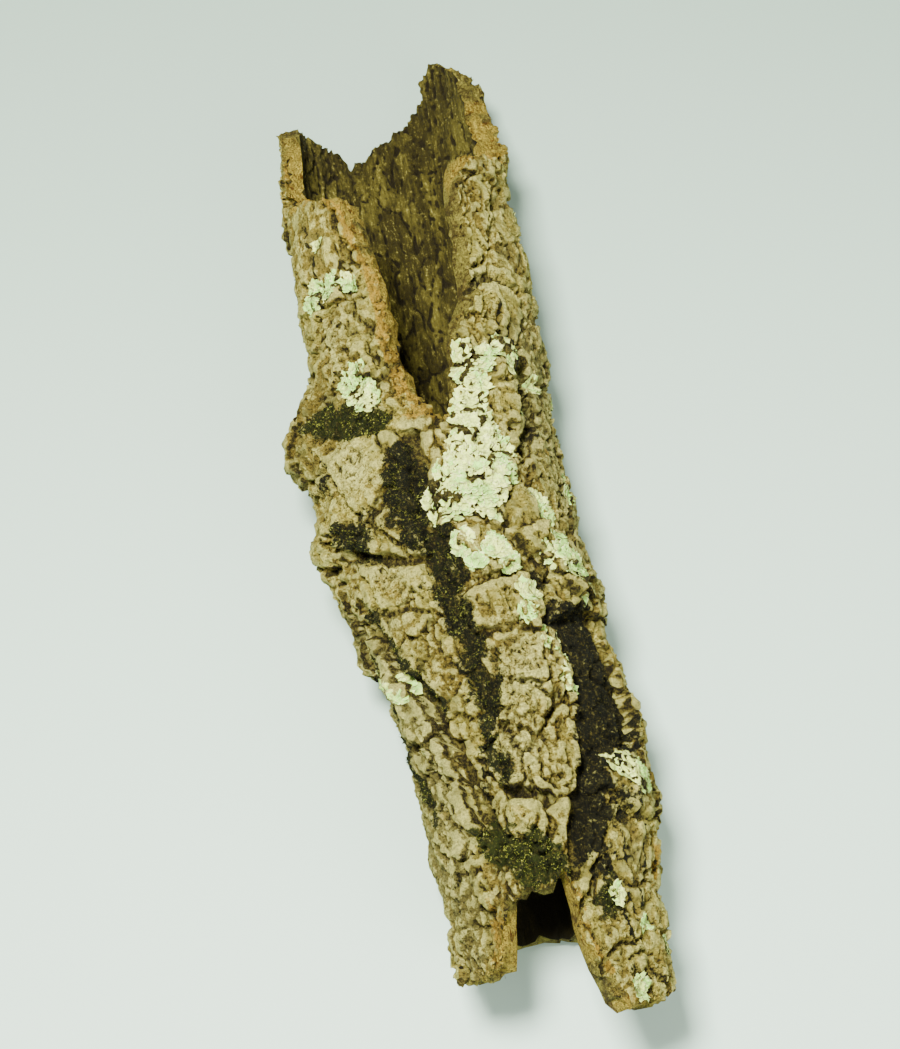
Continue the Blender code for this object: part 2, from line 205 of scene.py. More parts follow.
print("a path of 3 points, 4 mm away:",
      path_distance(((0, 0), (0, 5), (0, 9)), np.full(1, 4 / MM_PER_DEGREE), np.full(1, 5.0)))

# %% [markdown]
# ## The plan of the outside
#
# The main forms are the same ones that the frame's solid has, from the same named values: broad
# lumps, shelves of bark with steep edges, long furrows, and plates that each sit at a level of
# their own. They could be sculpted by hand, but then the dressed bark would drift away from the
# solid that it stands for.

# %% Lumps, shelves and furrows
# Around, along, half size around in mm, half size along, height
LUMPS = (
    (-80, 282, 19, 19, 15), (-84, 300, 13, 14, 5), (-76, 232, 15, 12, 9), (-70, 205, 12, 10, 3),
    (-62, 378, 16, 26, 2), (72, 437, 26, 7, 5), (70, 345, 14, 26, 3), (84, 250, 18, 20, 3),
    (-9, 84, 9, 8, 3), (46, 90, 16, 14, 3), (88, 150, 12, 34, 3), (-66, 150, 10, 26, 3),
)

# Height, width of the sloping edge, and outline
SHELVES = {
    "shoulder ridge": (4.5, 7, (
        (-10, 214), (-11, 240), (-8, 262), (4, 270), (12, 290), (14, 322), (24, 338), (38, 342),
        (45, 322), (46, 296), (40, 276), (37, 256), (40, 236), (42, 214), (30, 196), (8, 190))),
    "left brow": (4.5, 4, (
        (-14, 262), (-15, 240), (-17, 212), (-28, 210), (-44, 215), (-62, 226), (-74, 240),
        (-66, 262), (-48, 270), (-30, 272))),
    "tongue": (6.5, 4, (
        (20, 206), (30, 214), (46, 214), (58, 204), (60, 192), (54, 182), (46, 181), (38, 190))),
    "middle ridge": (3.5, 8, (
        (-12, 190), (-8, 150), (-24, 128), (-25, 96), (-22, 70), (-6, 58), (6, 60), (12, 78),
        (16, 100), (22, 130), (26, 160), (22, 192))),
    "right leg": (4.0, 5, (
        (20, 96), (30, 104), (48, 107), (62, 103), (70, 84), (74, 50), (72, 8), (24, -12),
        (16, 30), (15, 60))),
    "left ridge": (4.5, 5, (
        (-74, 184), (-66, 186), (-58, 166), (-47, 142), (-40, 112), (-32, 82), (-38, 78),
        (-50, 104), (-60, 134), (-70, 160))),
    "dark hollow": (-9.0, 5, (
        (27, 170), (40, 176), (58, 182), (72, 178), (79, 156), (79, 128), (72, 112), (52, 110),
        (34, 106), (22, 94), (14, 78), (12, 64), (17, 80), (22, 106), (27, 132), (27, 152))),
}

# Depth, half width, path
FURROWS = {
    "moss furrow": (7.5, 7, ((-14, 262), (-15, 240), (-15, 212), (-17, 196), (-16, 178),
                             (-17, 162), (-16, 145), (-12, 132))),
    "left fissure": (9.0, 6, ((-67, 198), (-62, 176), (-57, 164), (-48, 150), (-42, 130),
                              (-36, 112), (-34, 100), (-28, 82))),
    "shoulder gap": (9.5, 6, ((50, 300), (46, 286), (49, 270), (42, 256))),
    "middle crack": (5.0, 4, ((30, 176), (24, 164), (19, 152), (16, 135), (15, 116))),
    "mouth": (9.0, 4.5, ((-15, 95), (-8, 93), (2, 89))),
    "left leg crack": (4.5, 4, ((-48, 96), (-43, 84), (-45, 76), (-55, 70))),
    "leg valley": (5.5, 6, ((26, 104), (18, 88), (13, 72), (10, 58))),
    "flange crack": (4.0, 4, ((-38, 390), (-34, 366), (-37, 350))),
    "right cross crack": (4.0, 4, ((24, 337), (38, 346), (56, 342))),
    "brow step": (4.0, 4, ((-62, 222), (-44, 211), (-28, 206), (-18, 207))),
    "back fissure": (6.0, 5, ((150, 60), (138, 130), (146, 190), (132, 260), (140, 330),
                              (128, 400))),
    "side fissure": (6.0, 5, ((-112, 60), (-104, 120), (-116, 190), (-108, 260))),
    "side crack": (5.0, 4.5, ((-128, 300), (-116, 350), (-124, 410), (-118, 462))),
    "right fissure": (6.0, 5, ((104, 40), (112, 100), (102, 150), (108, 210))),
    "shoulder fissure": (5.0, 4.5, ((88, 290), (96, 350), (88, 402))),
    "under fissure": (5.0, 4.5, ((-152, 120), (-160, 200), (-148, 270), (-158, 350))),
}
print(len(LUMPS), "lumps,", len(SHELVES), "shelves,", len(FURROWS), "furrows")

# %% Plates
# Around, along, level, for the plates seen on the front
FRONT_PLATES = (
    (-45, 378, 2), (-24, 345, 0), (-70, 335, 1), (-45, 329, 2), (-64, 312, 0), (-13, 259, 1),
    (-55, 288, -1), (-41, 251, 2), (-61, 240, 1), (-26, 234, 1), (-40, 200, 0), (-66, 200, -1),
    (-46, 176, 1), (-30, 150, 0), (-72, 178, -1), (-30, 120, 0), (-69, 106, -1), (-88, 84, -1),
    (-28, 98, 0), (5, 152, 1), (7, 176, 1), (-2, 126, 2), (-11, 107, 1), (8, 105, 1),
    (-9, 84, 1), (6, 73, 0), (-15, 63, 0), (-35, 62, 0), (-55, 42, 1), (38, 379, 0),
    (56, 366, 1), (45, 329, 1), (22, 314, 1), (29, 293, 1), (66, 316, 1), (34, 278, 1),
    (12, 260, 1), (16, 232, 1), (71, 275, 0), (56, 246, 1), (31, 217, 1), (4, 203, -1),
    (47, 98, 1), (43, 74, 0), (34, 40, 1), (42, 10, 0), (72, 62, 0), (60, 30, 1),
)
LOG_SPARE = 14.0
PLATE_SPACING = (34.0, 44.0)
PLATE_CLEARANCE = 24.0
PLATE_LEVELS = (-2.8, 3.4)
PLATE_STRETCH = 0.72
PLATE_WARP = (7.0, 30.0)
PLATE_JITTER = 0.3
PLATE_SEED = 14


def plates():
    """Middles and levels of the bark's plates: those of the front, and more all over the rest."""
    draw = np.random.default_rng(PLATE_SEED)
    found = list(FRONT_PLATES)
    rows = int((LENGTH + 4 * LOG_SPARE) / PLATE_SPACING[1])
    columns = int(360 * MM_PER_DEGREE / PLATE_SPACING[0])
    for row in range(rows + 1):
        for column in range(columns):
            shift_around, shift_along = draw.uniform(-PLATE_JITTER, PLATE_JITTER, 2)
            around = (column + 0.5 * (row % 2) + shift_around) * 360 / columns - 180
            along = (row + shift_along) * PLATE_SPACING[1] - LOG_SPARE
            level = draw.uniform(*PLATE_LEVELS)
            gaps = [np.hypot(wrap(around - a) * MM_PER_DEGREE, along - b) for a, b, _ in found]
            if min(gaps) > PLATE_CLEARANCE:
                found.append((around, along, level))
    return np.array(found)


print(len(plates()), "plates")

# %% [markdown]
# ## Fine relief
#
# Up close the plates of cork differ. Some are smooth faces, weathered grey or brushed by the
# wind, and others have broken up into blocks and crumbs that cast small shadows of their own.
# A map of the smooth places says how strongly each fine layer shows: blocks about 13 mm wide
# with cracks between some of them, patches of round nodules, ledges across the log, layers of
# cork that step like a terrace along every slope, and hairline cracks.

# %% Where the bark is smooth, and its holes and hairline cracks
# Around, along, half size around in mm, half size along, share
SMOOTH_PLACES = (
    (-46, 380, 20, 26, 1.0), (-24, 345, 6, 22, 0.5), (-42, 250, 13, 15, 0.7),
    (-13, 262, 9, 13, 1.0), (-40, 196, 17, 12, 0.45), (-47, 172, 11, 12, 0.4),
    (-80, 112, 22, 36, 0.55), (-88, 60, 26, 26, 0.5), (29, 293, 9, 12, 0.6),
    (48, 384, 16, 22, 0.45), (48, 350, 14, 16, 0.6), (62, 318, 14, 20, 0.4),
    (44, 66, 16, 24, 0.6), (36, 22, 18, 18, 0.5), (-52, 36, 14, 18, 0.5),
    (20, 218, 14, 12, 0.4), (48, 200, 12, 12, 0.6), (110, 330, 26, 50, 0.5),
    (-130, 120, 26, 46, 0.5), (140, 150, 24, 40, 0.4), (-150, 380, 26, 40, 0.5),
)

# The same, for places that have crumbled into round nodules
CRUMBLED = (
    (0, 150, 20, 22, 1.0), (-4, 108, 20, 22, 1.0), (-82, 284, 20, 22, 1.0),
    (-50, 334, 20, 10, 0.8), (-66, 300, 10, 16, 0.8), (38, 402, 10, 16, 0.9),
    (-52, 246, 10, 8, 0.7), (-18, 232, 8, 8, 0.8), (20, 176, 14, 8, 0.7), (36, 40, 14, 14, 0.5),
    (-36, 66, 16, 10, 0.6), (46, 140, 10, 20, 0.7), (22, 318, 10, 12, 0.6),
)

# Around, along, radius, depth
HOLES = (
    (39, 250, 3.4, 6.5), (65, 258, 2.2, 4.5), (8, 238, 2.0, 4.0), (-58, 168, 3.2, 5.5),
    (-47, 147, 3.6, 5.5), (-11, 124, 1.8, 4.0), (-4, 121, 2.2, 4.5), (-18, 82, 2.0, 5.0),
    (64, 60, 4.4, 6.5), (70, 74, 4.0, 6.0), (61, 46, 2.4, 4.0), (-20, 116, 2.6, 4.0),
    (33, 262, 4.0, 5.0), (-49, 350, 2.0, 3.0), (22, 140, 2.2, 3.5), (118, 240, 3.0, 5.0),
    (-118, 210, 3.0, 5.0), (160, 300, 2.6, 4.0), (96, 380, 2.4, 4.0), (-92, 350, 2.6, 4.0),
)

# Depth, half width, path
HAIRLINES = (
    (3.6, 1.5, ((-48, 96), (-44, 88), (-42, 81), (-44, 77), (-40, 74), (-34, 75))),
    (2.6, 1.3, ((-36, 398), (-36, 384), (-33, 372), (-31, 362), (-24, 356))),
    (3.0, 1.4, ((-66, 350), (-58, 348), (-48, 344), (-40, 346), (-30, 350))),
    (3.0, 1.5, ((-14, 264), (-4, 266), (2, 258), (2, 246))),
    (3.4, 1.5, ((12, 180), (22, 170), (27, 158), (26, 146), (20, 138))),
    (3.0, 1.4, ((-8, 168), (4, 164), (12, 168), (18, 162))),
    (3.2, 1.6, ((-12, 140), (0, 142), (10, 138), (17, 142))),
    (2.8, 1.4, ((0, 120), (4, 108), (1, 98), (8, 92), (14, 96))),
    (2.8, 1.4, ((-14, 118), (-16, 106), (-14, 96))),
    (3.0, 1.5, ((-2, 84), (4, 78), (0, 72), (-8, 71), (-14, 76))),
    (2.6, 1.3, ((40, 56), (48, 52), (58, 54), (66, 50))),
    (2.6, 1.3, ((24, 42), (34, 40), (44, 34), (54, 36))),
    (2.6, 1.3, ((30, 18), (40, 22), (50, 20))),
    (3.0, 1.5, ((30, 396), (34, 384), (33, 372), (38, 360), (37, 348))),
    (3.0, 1.5, ((44, 404), (48, 392), (46, 378), (52, 366))),
    (2.8, 1.4, ((-60, 44), (-52, 48), (-44, 44), (-36, 50))),
    (3.0, 1.6, ((-32, 196), (-42, 190), (-54, 192))),
    (3.0, 1.5, ((-28, 178), (-38, 172), (-46, 176), (-52, 172))),
)


def smoothness(around, along):
    """1 where the bark is a smooth face, 0 where it is broken up."""
    drift = 0.25 * rough(around, along, 26.0, 2, 41.0)
    return np.clip(blob(SMOOTH_PLACES, around, along) + drift, 0.0, 1.0)


print(len(SMOOTH_PLACES), "smooth places,", len(HOLES), "holes,", len(HAIRLINES), "hairlines")

# %% Settings of the fine layers
# Noise that the frame's solid has too: strength, size, octaves, shift
SWELL = (2.0, 42.0, 2, 3.0)
CRUMBS = (2.1, 12.0, 4, 11.0)
SOFT_FLOOR = (-4.5, 0.32)               # below this, only a share of the depth is kept
RELIEF_LIMITS = (-8.8, 24.0)

PLATE_CRACKS = (1.8, 5.0, 2.4, 1.6)     # depth and width of the valley, then of the crack in it
PLATE_TILT = 0.05                       # mm that a plate rises in each mm along or across
RAGGED = (2.0, 8.0)                     # how far the edges of large forms stray, over what size
PATCHES = (1.3, 17.0)                   # contrast and size of the crumbly patches
BLOCKS = (13.0, 1.2, 0.55)              # size, run along the grain, warp
BLOCK_LEVEL = 1.2
BLOCK_CRACK = (1.5, 1.5)                # depth, width
NODULES = (4.6, 0.9, 0.5)
NODULE_HEIGHT = 1.9
GRANULES = (2.5, 1.0, 0.4)
GRANULE_HEIGHT = 0.6
GRIT = (0.85, 2.8, 3, 23.0)
LEDGES = (0.8, 9.0, 0.2)                # ridges across the log: strength, size, run
BRUSHED = (0.3, 1.7, 6.0)               # lines along the log
SPLITS = (7.5, 2.2, 0.82, 2.4)          # size, run, sharpness, depth
TERRACE = (1.5, 0.45)                   # height of a step, share


def dome(middle, spread):
    """A round top around the middle of each cell, 1 at its highest."""
    return np.sqrt(np.clip(1.0 - (middle / spread)**2, 0.0, 1.0))


def outside_layers(around, along):
    """Height of the fine relief, and what the colours need to know about each place."""
    calm = smoothness(around, along)
    broken = 1.0 - calm
    contrast, size = PATCHES
    patch = smooth(0.35 + contrast * rough(around, along, size, 3, 61.0)
                   + blob(CRUMBLED, around, along))
    crumbly = broken * patch

    strength, size = PLATE_WARP
    shifted_around = around + strength * rough(around, along, size, 2, 7.3) / MM_PER_DEGREE
    shifted_along = along + strength * rough(around, along, size, 2, 19.1)
    strength, size = RAGGED
    stray_around = around + strength * rough(around, along, size, 3, 151.0) / MM_PER_DEGREE
    stray_along = along + strength * rough(around, along, size, 3, 163.0)
    seeds = plates()
    across = wrap(shifted_around[:, None] + (stray_around - around)[:, None]
                  - seeds[:, 0]) * MM_PER_DEGREE
    up = (shifted_along + stray_along - along)[:, None] - seeds[:, 1]
    up = up * PLATE_STRETCH
    distance = np.hypot(across, up)
    rows = np.arange(len(around))
    nearest = np.argpartition(distance, 1, axis=1)[:, :2]
    pair = distance[rows[:, None], nearest]
    own = nearest[rows, np.argmin(pair, axis=1)]
    gap = np.abs(pair[:, 1] - pair[:, 0])
    tilts = np.random.default_rng(PLATE_SEED).uniform(-PLATE_TILT, PLATE_TILT, (len(seeds), 2))
    tilt = tilts[own, 0] * across[rows, own] + tilts[own, 1] * up[rows, own]
    valley, valley_width, crack, crack_width = PLATE_CRACKS
    height = seeds[own, 2] + tilt - valley * smooth(1.0 - gap / valley_width)

    for rise, edge, outline in SHELVES.values():
        reach = reach_inside(outline, stray_around, stray_along)
        height += rise * smooth(reach / (0.6 * edge))
    furrows = np.zeros(around.shape)
    for depth, width, path in FURROWS.values():
        far = path_distance(path, stray_around, stray_along)
        furrows = np.minimum(furrows, -depth * smooth(1.35 * (1.0 - far / width)))
    height += furrows + blob(LUMPS, around, along)
    height += layer(around, along, SWELL) + layer(around, along, CRUMBS)
    start, share = SOFT_FLOOR
    height = np.where(height < start, start + (height - start) * share, height)
    height -= crack * smooth(1.0 - gap / crack_width) * (0.35 + 0.65 * broken)

    number, gap, _ = cells(around, along, BLOCKS[0], BLOCKS[1], 3.1, BLOCKS[2])
    depth, width = BLOCK_CRACK
    open_crack = smooth(0.45 + 1.6 * rough(around, along, 9.0, 2, 47.0))
    height += BLOCK_LEVEL * (number - 0.5) * (0.2 + 0.8 * broken)
    height -= depth * smooth(1.0 - gap / width) * open_crack * (0.15 + 0.85 * broken)

    size, run, sharpness, depth = SPLITS
    ridge = 1.0 - np.abs(rough(around, along, size, 3, 57.0, run)) * 2.2
    height -= depth * smooth((ridge - sharpness) / (1.0 - sharpness)) * (0.3 + 0.7 * broken)

    strength, size, run = LEDGES
    ledges = rough(around, along, size, 3, 171.0, run)
    height += strength * ledges * (0.35 + 0.65 * broken) * (1.0 - 0.6 * patch)
    strength, size, run = BRUSHED
    height += strength * rough(around, along, size, 2, 181.0, run) * calm

    step, share = TERRACE
    stack = height / step + 0.35 * rough(around, along, 9.0, 2, 71.0)
    part = stack - np.floor(stack)
    height += share * step * (smooth((part - 0.3) / 0.4) - part) * (0.4 + 0.6 * broken)

    nodule, _, middle = cells(around, along, NODULES[0], NODULES[1], 9.7, NODULES[2])
    tops = dome(middle, 0.78) * (0.35 + nodule)
    height += NODULE_HEIGHT * crumbly * (tops - 0.5)
    _, _, middle = cells(around, along, GRANULES[0], GRANULES[1], 13.3, GRANULES[2])
    height += GRANULE_HEIGHT * (0.25 + 0.75 * crumbly) * broken * (dome(middle, 0.8) - 0.5)
    height += layer(around, along, GRIT) * (0.3 + 0.7 * broken)

    for depth, width, path in HAIRLINES:
        far = path_distance(path, stray_around, stray_along)
        height -= depth * smooth(1.0 - far / width)
    for at_around, at_along, radius, depth in HOLES:
        far = np.hypot(wrap(stray_around - at_around) * MM_PER_DEGREE, stray_along - at_along)
        height -= depth * smooth(1.5 * (1.0 - far / radius))
    return {"height": height, "calm": calm, "block": number, "pebble": nodule,
            "patch": crumbly}


print("fine layers: blocks of", BLOCKS[0], "mm, nodules of", NODULES[0], "mm")

# %% The whole outer relief, quieter underneath and flat where the log rests
RESTING_SPOTS = ((180, 96, 19, 24), (180, 404, 19, 26))
UNDERSIDE = (0.72, 0.92)
UNDERSIDE_LIMITS = (-6.0, 2.0)
UNDERSIDE_LIFT = 2.4
SPOT_DROP = 1.8


def resting(around, along):
    """1 on the spots that the log rests on, fading to 0 around them."""
    share = np.zeros(around.shape)
    for at_around, at_along, half_around, half_along in RESTING_SPOTS:
        across = np.abs(wrap(around - at_around)) * MM_PER_DEGREE / half_around
        up = np.abs(along - at_along) / half_along
        share = np.maximum(share, smooth(2.4 * (1.3 - np.maximum(across, up))))
    return share


def settle(relief, around, along):
    """The relief as it ends up: limited, calmer underneath, and none beyond the two ends."""
    relief = np.clip(relief, *RELIEF_LIMITS)
    first, full = UNDERSIDE
    under = smooth((-np.cos(np.radians(around)) - first) / (full - first))
    quiet = np.clip(relief, *UNDERSIDE_LIMITS) - UNDERSIDE_LIFT
    rest = resting(around, along)
    relief = relief * (1 - under) + quiet * under
    relief = relief * (1 - rest) + SPOT_DROP * rest
    beyond = smooth((np.abs(along - LENGTH / 2) - LENGTH / 2) / LOG_SPARE * 1.6)
    return relief * (1 - beyond)


print("resting spots:", len(RESTING_SPOTS))

# %% [markdown]
# ## A sheet of bark, rolled up
#
# The log starts as a flat grid, like bark peeled off in one sheet. Every vertex is given its
# place on the round log, the seam is merged, and the two ends are filled, so that the result
# is one closed body that Boolean modifiers can cut. Rolling a grid keeps the vertices in rows
# and columns, and maps of the surface are then plain tables. The columns crowd together on the
# side that matters most.

# %% A rolled grid
def deselect_all():
    """Nothing selected, so that an operator meets only what is picked for it."""
    if bpy.context.object and bpy.context.object.mode != "OBJECT":
        bpy.ops.object.mode_set(mode="OBJECT")
    bpy.ops.object.select_all(action="DESELECT")


def pick(piece):
    deselect_all()
    bpy.context.view_layer.objects.active = piece
    piece.select_set(True)


class Chart:
    """The rows and columns of a rolled sheet, and tables of numbers over them."""

    def __init__(self, columns, rows, spare, crowding):
        self.columns = columns
        self.rows = rows
        self.start = -spare
        self.step = (LENGTH + 2 * spare) / rows
        share = np.arange(columns) / columns - 0.5
        self.turns = 360.0 * share - crowding * np.sin(2 * math.pi * share)
        self.around, self.along = [
            table.ravel() for table in np.meshgrid(self.turns, self.start + self.step
                                                   * np.arange(rows + 1))]

    def table(self, values):
        return values.reshape(self.rows + 1, self.columns)

    def blurred(self, values, reach):
        """A soft mean over so many millimetres each way."""
        table = self.table(values)
        cells_each_way = max(1, round(reach / self.step))
        for axis, edge in ((0, "edge"), (1, "wrap")) * 2:
            margin = [(0, 0), (0, 0)]
            margin[axis] = (cells_each_way, cells_each_way)
            padded = np.cumsum(np.pad(table, margin, mode=edge), axis=axis)
            padded = np.insert(padded, 0, 0.0, axis=axis)
            width = 2 * cells_each_way + 1
            size = table.shape[axis]
            upper = np.take(padded, np.arange(width, width + size), axis=axis)
            lower = np.take(padded, np.arange(size), axis=axis)
            table = (upper - lower) / width
        return table.ravel()

    def read(self, values, around, along):
        """Values of a table at any places, blended between its grid points."""
        table = self.table(values)
        turns = np.append(self.turns, self.turns[0] + 360.0)
        columns = np.interp((around - turns[0]) % 360.0 + turns[0], turns,
                            np.arange(self.columns + 1))
        rows = np.clip((along - self.start) / self.step, 0, self.rows - 1e-6)
        column, row = columns.astype(int), rows.astype(int)
        right = (column + 1) % self.columns
        column = column % self.columns
        side, up = columns - np.floor(columns), rows - row
        low = table[row, column] * (1 - side) + table[row, right] * side
        high = table[row + 1, column] * (1 - side) + table[row + 1, right] * side
        return low * (1 - up) + high * up


def mesh_points(mesh):
    spots = np.empty(len(mesh.vertices) * 3)
    mesh.vertices.foreach_get("co", spots)
    return spots.reshape(-1, 3)


def set_points(mesh, spots):
    mesh.vertices.foreach_set("co", np.ascontiguousarray(spots, float).ravel())
    mesh.update()


def rolled_grid(name, columns, rows, spots, closed_along=False):
    """A grid whose vertex at (row, column) goes to its own row of spots, seams merged."""
    deselect_all()
    bpy.ops.mesh.primitive_grid_add(x_subdivisions=columns, y_subdivisions=rows, size=1.0)
    piece = bpy.context.object
    piece.name = piece.data.name = name
    flat = mesh_points(piece.data)
    column = np.rint((flat[:, 0] + 0.5) * columns).astype(int) % columns
    row = np.rint((flat[:, 1] + 0.5) * rows).astype(int)
    if closed_along:
        row = row % rows
    set_points(piece.data, spots[row * columns + column])
    bpy.ops.object.mode_set(mode="EDIT")
    bpy.ops.mesh.select_all(action="SELECT")
    bpy.ops.mesh.remove_doubles(threshold=1e-6)
    if not closed_along:
        bpy.ops.mesh.select_all(action="DESELECT")
        bpy.ops.mesh.select_non_manifold()
        bpy.ops.mesh.fill_holes(sides=0)
        bpy.ops.mesh.select_all(action="SELECT")
    bpy.ops.mesh.normals_make_consistent(inside=False)
    bpy.ops.object.mode_set(mode="OBJECT")
    return piece


print("sheet tools ready")

# %% The outside of the log
LEAN = 1.0            # mm that the edge of a step may lean out over its foot
LEAN_STRENGTH = 0.9
began = time.time()
outside = Chart(columns=300, rows=470, spare=LOG_SPARE, crowding=14.8)
layers = outside_layers(outside.around, outside.along)
layers["height"] = settle(layers["height"], outside.around, outside.along)
print("layers took", round(time.time() - began, 1), "s for", len(outside.around), "places")

height = layers["height"]
proud = height - outside.blurred(height, 5.0)
broad = outside.table(outside.blurred(height, 1.5))
slope_around = np.gradient(np.pad(broad, ((0, 0), (1, 1)), mode="wrap"), axis=1)[:, 1:-1]
spacing = np.gradient(np.append(outside.turns, outside.turns[0] + 360.0))[:-1] * MM_PER_DEGREE
slope_around = (slope_around / spacing).ravel()
slope_along = (np.gradient(broad, axis=0) / outside.step).ravel()
lean_around = np.clip(-LEAN_STRENGTH * slope_around * proud, -LEAN, LEAN)
lean_along = np.clip(-LEAN_STRENGTH * slope_along * proud, -LEAN, LEAN)
calm_ends = np.minimum(outside.along - outside.start, LENGTH + LOG_SPARE - outside.along) > 3.0
still = (1.0 - resting(outside.around, outside.along)) * calm_ends
spots = place(outside.around + lean_around * still / MM_PER_DEGREE,
              outside.along + lean_along * still, height)
spots[:, 2] = np.maximum(spots[:, 2], 0.0)
bark = rolled_grid("bark", outside.columns, outside.rows, spots)
print("outside:", len(bark.data.polygons), "faces in", round(time.time() - began, 1), "s")

# %% [markdown]
# ## The hollow, and the broken rims
#
# The wood inside the limb rotted away long ago and left a bore whose wall is grooved along the
# grain and cracked across it into long blocks. Both ends are torn. At the upper end the tear
# runs down the front in a deep notch, and at the lower end it leaves two legs. The bore is a
# second rolled sheet, and each tear is a ring of crumbly facets that follows the rim: as
# cutters they take the waste off the solid log, the way a carver would.

# %% The bore
GROOVES = (1.3, 11.0, 90.0)
BORE_SWELL = (1.0, 30.0, 2, 5.0)
BORE_SPARE = 30.0
FIBRES = (0.8, 2.6, 9.0)                # strength, size, run
BORE_BLOCKS = (12.0, 2.3, 0.75)
BORE_BLOCK_LEVEL = 0.9
BORE_CRACK = (2.0, 1.5)
BORE_SPLITS = (9.0, 3.0, 0.86, 1.6)     # size, run, sharpness, depth
BORE_GRIT = (0.45, 2.4, 3, 67.0)
RIM_GRANULES = (3.2, 1.0, 0.4)
RIM_GRANULE_HEIGHT = 1.3
RIM_GRANULE_REACH = 34.0
RIM_COURSE = ((0, 90, 180), (300, 450, 480))    # around, and where the rim is along the log
BORE_LIMIT = -10.4                      # the bore never comes nearer to the outside than this


def bore_layers(around, along):
    """Height of the bore's wall, from the smooth log's surface, and its blocks."""
    strength, size, run = GROOVES
    height = -WALL + strength * rough(around, along, size, 2, 0.0, run / size)
    height += layer(around, along, BORE_SWELL)
    strength, size, run = FIBRES
    height += strength * rough(around, along, size, 3, 29.0, run)
    number, gap, _ = cells(around, along, BORE_BLOCKS[0], BORE_BLOCKS[1], 5.5, BORE_BLOCKS[2])
    height += BORE_BLOCK_LEVEL * (number - 0.5)
    depth, width = BORE_CRACK
    open_crack = smooth(0.5 + 1.6 * rough(around, along, 14.0, 2, 43.0))
    height += depth * smooth(1.0 - gap / width) * open_crack
    size, run, sharpness, depth = BORE_SPLITS
    ridge = 1.0 - np.abs(rough(around, along, size, 3, 77.0, run)) * 2.2
    height += depth * smooth((ridge - sharpness) / (1.0 - sharpness))
    height += layer(around, along, BORE_GRIT)
    from_rim = np.abs(along - np.interp(np.abs(around), *RIM_COURSE))
    granular = smooth(1.0 - from_rim / RIM_GRANULE_REACH)
    _, _, middle = cells(around, along, RIM_GRANULES[0], RIM_GRANULES[1], 15.1, RIM_GRANULES[2])
    height -= RIM_GRANULE_HEIGHT * granular * (dome(middle, 0.8) - 0.4)
    return np.minimum(height, BORE_LIMIT), number


began = time.time()
inner = Chart(columns=220, rows=400, spare=BORE_SPARE, crowding=-14.8)
bore_height, bore_block = bore_layers(inner.around, inner.along)
bore = rolled_grid("bore", inner.columns, inner.rows,
                   place(inner.around, inner.along, bore_height))
print("bore:", len(bore.data.polygons), "faces in", round(time.time() - began, 1), "s")

# %% The rims
# Around, along
UPPER_RIM = (
    (-180, 481), (-168, 473), (-156, 467), (-146, 474), (-129, 478), (-108, 476), (-94, 472),
    (-86, 464), (-84, 445), (-82, 426), (-77, 413), (-68, 409), (-57, 408), (-42, 403),
    (-30, 396), (-27, 384), (-25, 372), (-22, 358), (-19.5, 347), (-19, 335), (-18.5, 321),
    (-17.5, 312), (-14, 298), (-9, 286), (-3, 275), (3, 271), (7, 275), (10.5, 293), (13, 316),
    (19, 326), (26, 337), (28, 350), (28.5, 370), (29, 390), (30, 403), (34, 411), (45, 416),
    (62, 424), (80, 434), (90, 450), (97, 474), (106, 498), (118, 511), (130, 518),
    (139, 515), (144, 498), (160, 487),
)
LOWER_RIM = (
    (-180, 49), (-170, 49), (-154, 47), (-138, 43), (-118, 44), (-100, 41), (-86, 35),
    (-74, 27), (-58, 24), (-46, 26), (-40, 33), (-36, 44), (-32, 54), (-20, 54), (-9, 53),
    (-1, 55), (6, 60), (9, 51), (10, 40), (11, 29), (14, 21), (18, 13), (23, 5), (29, 0),
    (37, 1), (46, 3), (56, 3), (72, 10), (90, 18), (115, 32), (140, 44), (158, 48),
)
RIM_STEP = 1.2
RIM_FLARE = 4.5
RIM_TURN = 5                            # steps each way that the rim's direction is read over
RIM_JAGS = ((1.6, 6.5, 2, 91.0), (1.1, 2.6, 2, 97.0))
STRATA = (1.9, 2.1, 9.0)                # strength, thickness of a layer, its length
RIM_CRUMBS = (1.1, 2.8)
BREAK_RADII = np.concatenate([[18, 30, 36], np.arange(39, 75, 1.3), [80, 92]])
CUTTER_SPARE = 2.5 * LOG_SPARE          # how far past the log's end a cutter reaches


def even_path(rim):
    """The rim as points about a millimetre apart."""
    closed = np.array(rim + ((rim[0][0] + 360, rim[0][1]),), float)
    steps = np.hypot(np.diff(closed[:, 0]) * MM_PER_DEGREE, np.diff(closed[:, 1]))
    run = np.concatenate([[0.0], np.cumsum(steps)])
    count = int(run[-1] / RIM_STEP)
    wanted = np.arange(count) * run[-1] / count
    return np.interp(wanted, run, closed[:, 0]), np.interp(wanted, run, closed[:, 1])


